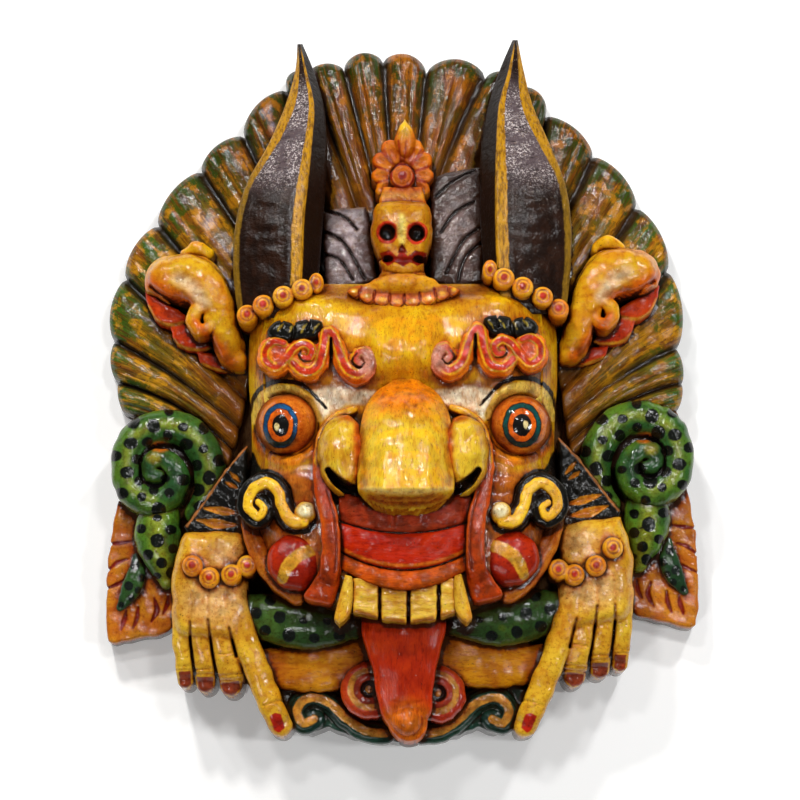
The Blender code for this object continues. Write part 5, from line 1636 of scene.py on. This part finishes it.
def lighten(piece):
    """Joins small faces where the surface is nearly flat, which keeps the mask under a million triangles."""
    share = KEPT_SHARES.get(piece.name, KEPT_SHARE)
    if share == 1.0:
        return
    change = piece.modifiers.new("fewer_faces", "DECIMATE")
    change.ratio = share
    graph = bpy.context.evaluated_depsgraph_get()
    lighter = bpy.data.meshes.new_from_object(
        piece.evaluated_get(graph), preserve_all_data_layers=True, depsgraph=graph)
    heavy = piece.data
    piece.modifiers.clear()
    piece.data = lighter
    bpy.data.meshes.remove(heavy)
    lighter.name = piece.name


# The floor's half side and height, in metres
FLOOR_REACH, FLOOR_HEIGHT = 6.0, -0.0004
WHITE = (1.0, 1.0, 1.0, 1.0)


def stage():
    """A pale floor just under the mask."""
    mesh = bpy.data.meshes.new("floor")
    corners = [(i * FLOOR_REACH, j * FLOOR_REACH, FLOOR_HEIGHT)
               for i, j in ((-1, -1), (1, -1), (1, 1), (-1, 1))]
    mesh.from_pydata(corners, [], [(0, 1, 2, 3)])
    floor = put_in("floor", mesh)
    material = bpy.data.materials.new("pale_floor")
    material.use_nodes = True
    shader = material.node_tree.nodes["Principled BSDF"]
    shader.inputs["Base Color"].default_value = (0.93, 0.93, 0.92, 1.0)
    shader.inputs["Roughness"].default_value = 0.7
    shader.inputs["Emission Color"].default_value = WHITE
    shader.inputs["Emission Strength"].default_value = 0.16
    mesh.materials.append(material)


# Lamps: (name, place, side, power, tint). All are turned to LAMP_AIM.
LAMPS = (
    ("key", (-0.5, 1.15, 1.35), 0.15, 14.5, (1.0, 0.98, 0.95)),
    ("top", (0.75, 1.1, 1.3), 0.14, 10.0, WHITE[:3]),
    ("fill", (0.95, -0.35, 1.4), 0.16, 5.5, (0.98, 0.99, 1.0)),
    ("low", (-0.5, -0.9, 1.4), 0.2, 5.0, WHITE[:3]),
    ("front_right", (0.38, 0.4, 1.9), 0.2, 6.5, WHITE[:3]),
    ("front_left", (-0.4, 0.62, 1.8), 0.16, 5.0, WHITE[:3]),
    ("side_left", (-1.3, 1.5, 1.3), 0.14, 6.0, WHITE[:3]),
)
LAMP_AIM = Vector((0, 0, 0.05))
ROOM_LIGHT = 0.08


def lights():
    """Soft room light with a few small bright lamps, whose reflections break up on the varnish."""
    for name, place, side, power, tint in LAMPS:
        light = bpy.data.lights.new(name, "AREA")
        light.shape = "RECTANGLE"
        light.size = light.size_y = side
        light.energy = power
        light.color = tint
        thing = put_in(name, light)
        thing.location = place
        thing.rotation_euler = (LAMP_AIM - Vector(place)).to_track_quat("-Z", "Y").to_euler()
    world_look = bpy.data.worlds.new("studio")
    world_look.use_nodes = True
    shade = world_look.node_tree.nodes["Background"]
    shade.inputs["Color"].default_value = WHITE
    shade.inputs["Strength"].default_value = ROOM_LIGHT
    bpy.context.scene.world = world_look


SENSOR = 36.0


def camera():
    """The photo's view: tilted to the foot, with the sheet filling the picture."""
    away, wide, half = AWAY / MM, SHEET_SIDE * PX / MM, SHEET_SIDE / 2
    data = bpy.data.cameras.new("camera")
    data.sensor_width = SENSOR
    data.lens = SENSOR * away / wide
    data.shift_x, data.shift_y = (half - MIDDLE[0]) / SHEET_SIDE, (MIDDLE[1] - half) / SHEET_SIDE
    thing = put_in("camera", data)
    thing.location = Vector((0, -CENTRE_SHIFT / MM, SHEET_DEPTH / MM)) + Vector((0, -SIN, COS)) * away
    thing.rotation_euler = (TILT, 0.0, 0.0)
    bpy.context.scene.camera = thing


camera()
fan()
horn("horn_left", HORN_LEFT, True)
horn("horn_right", HORN_RIGHT, False)
face()
nose()
brows()
eyes()
nose_wings()
bands()
mouth()
ears()
snakes()
plates()
beads()
hands()
low_forms()
crown()
back_board()
measure_cuts()
for piece in pieces:
    lighten(piece)
for piece in pieces:
    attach(piece, "root")
    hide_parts("mask")
stage()
lights()
bpy.context.scene.view_settings.view_transform = "Standard"
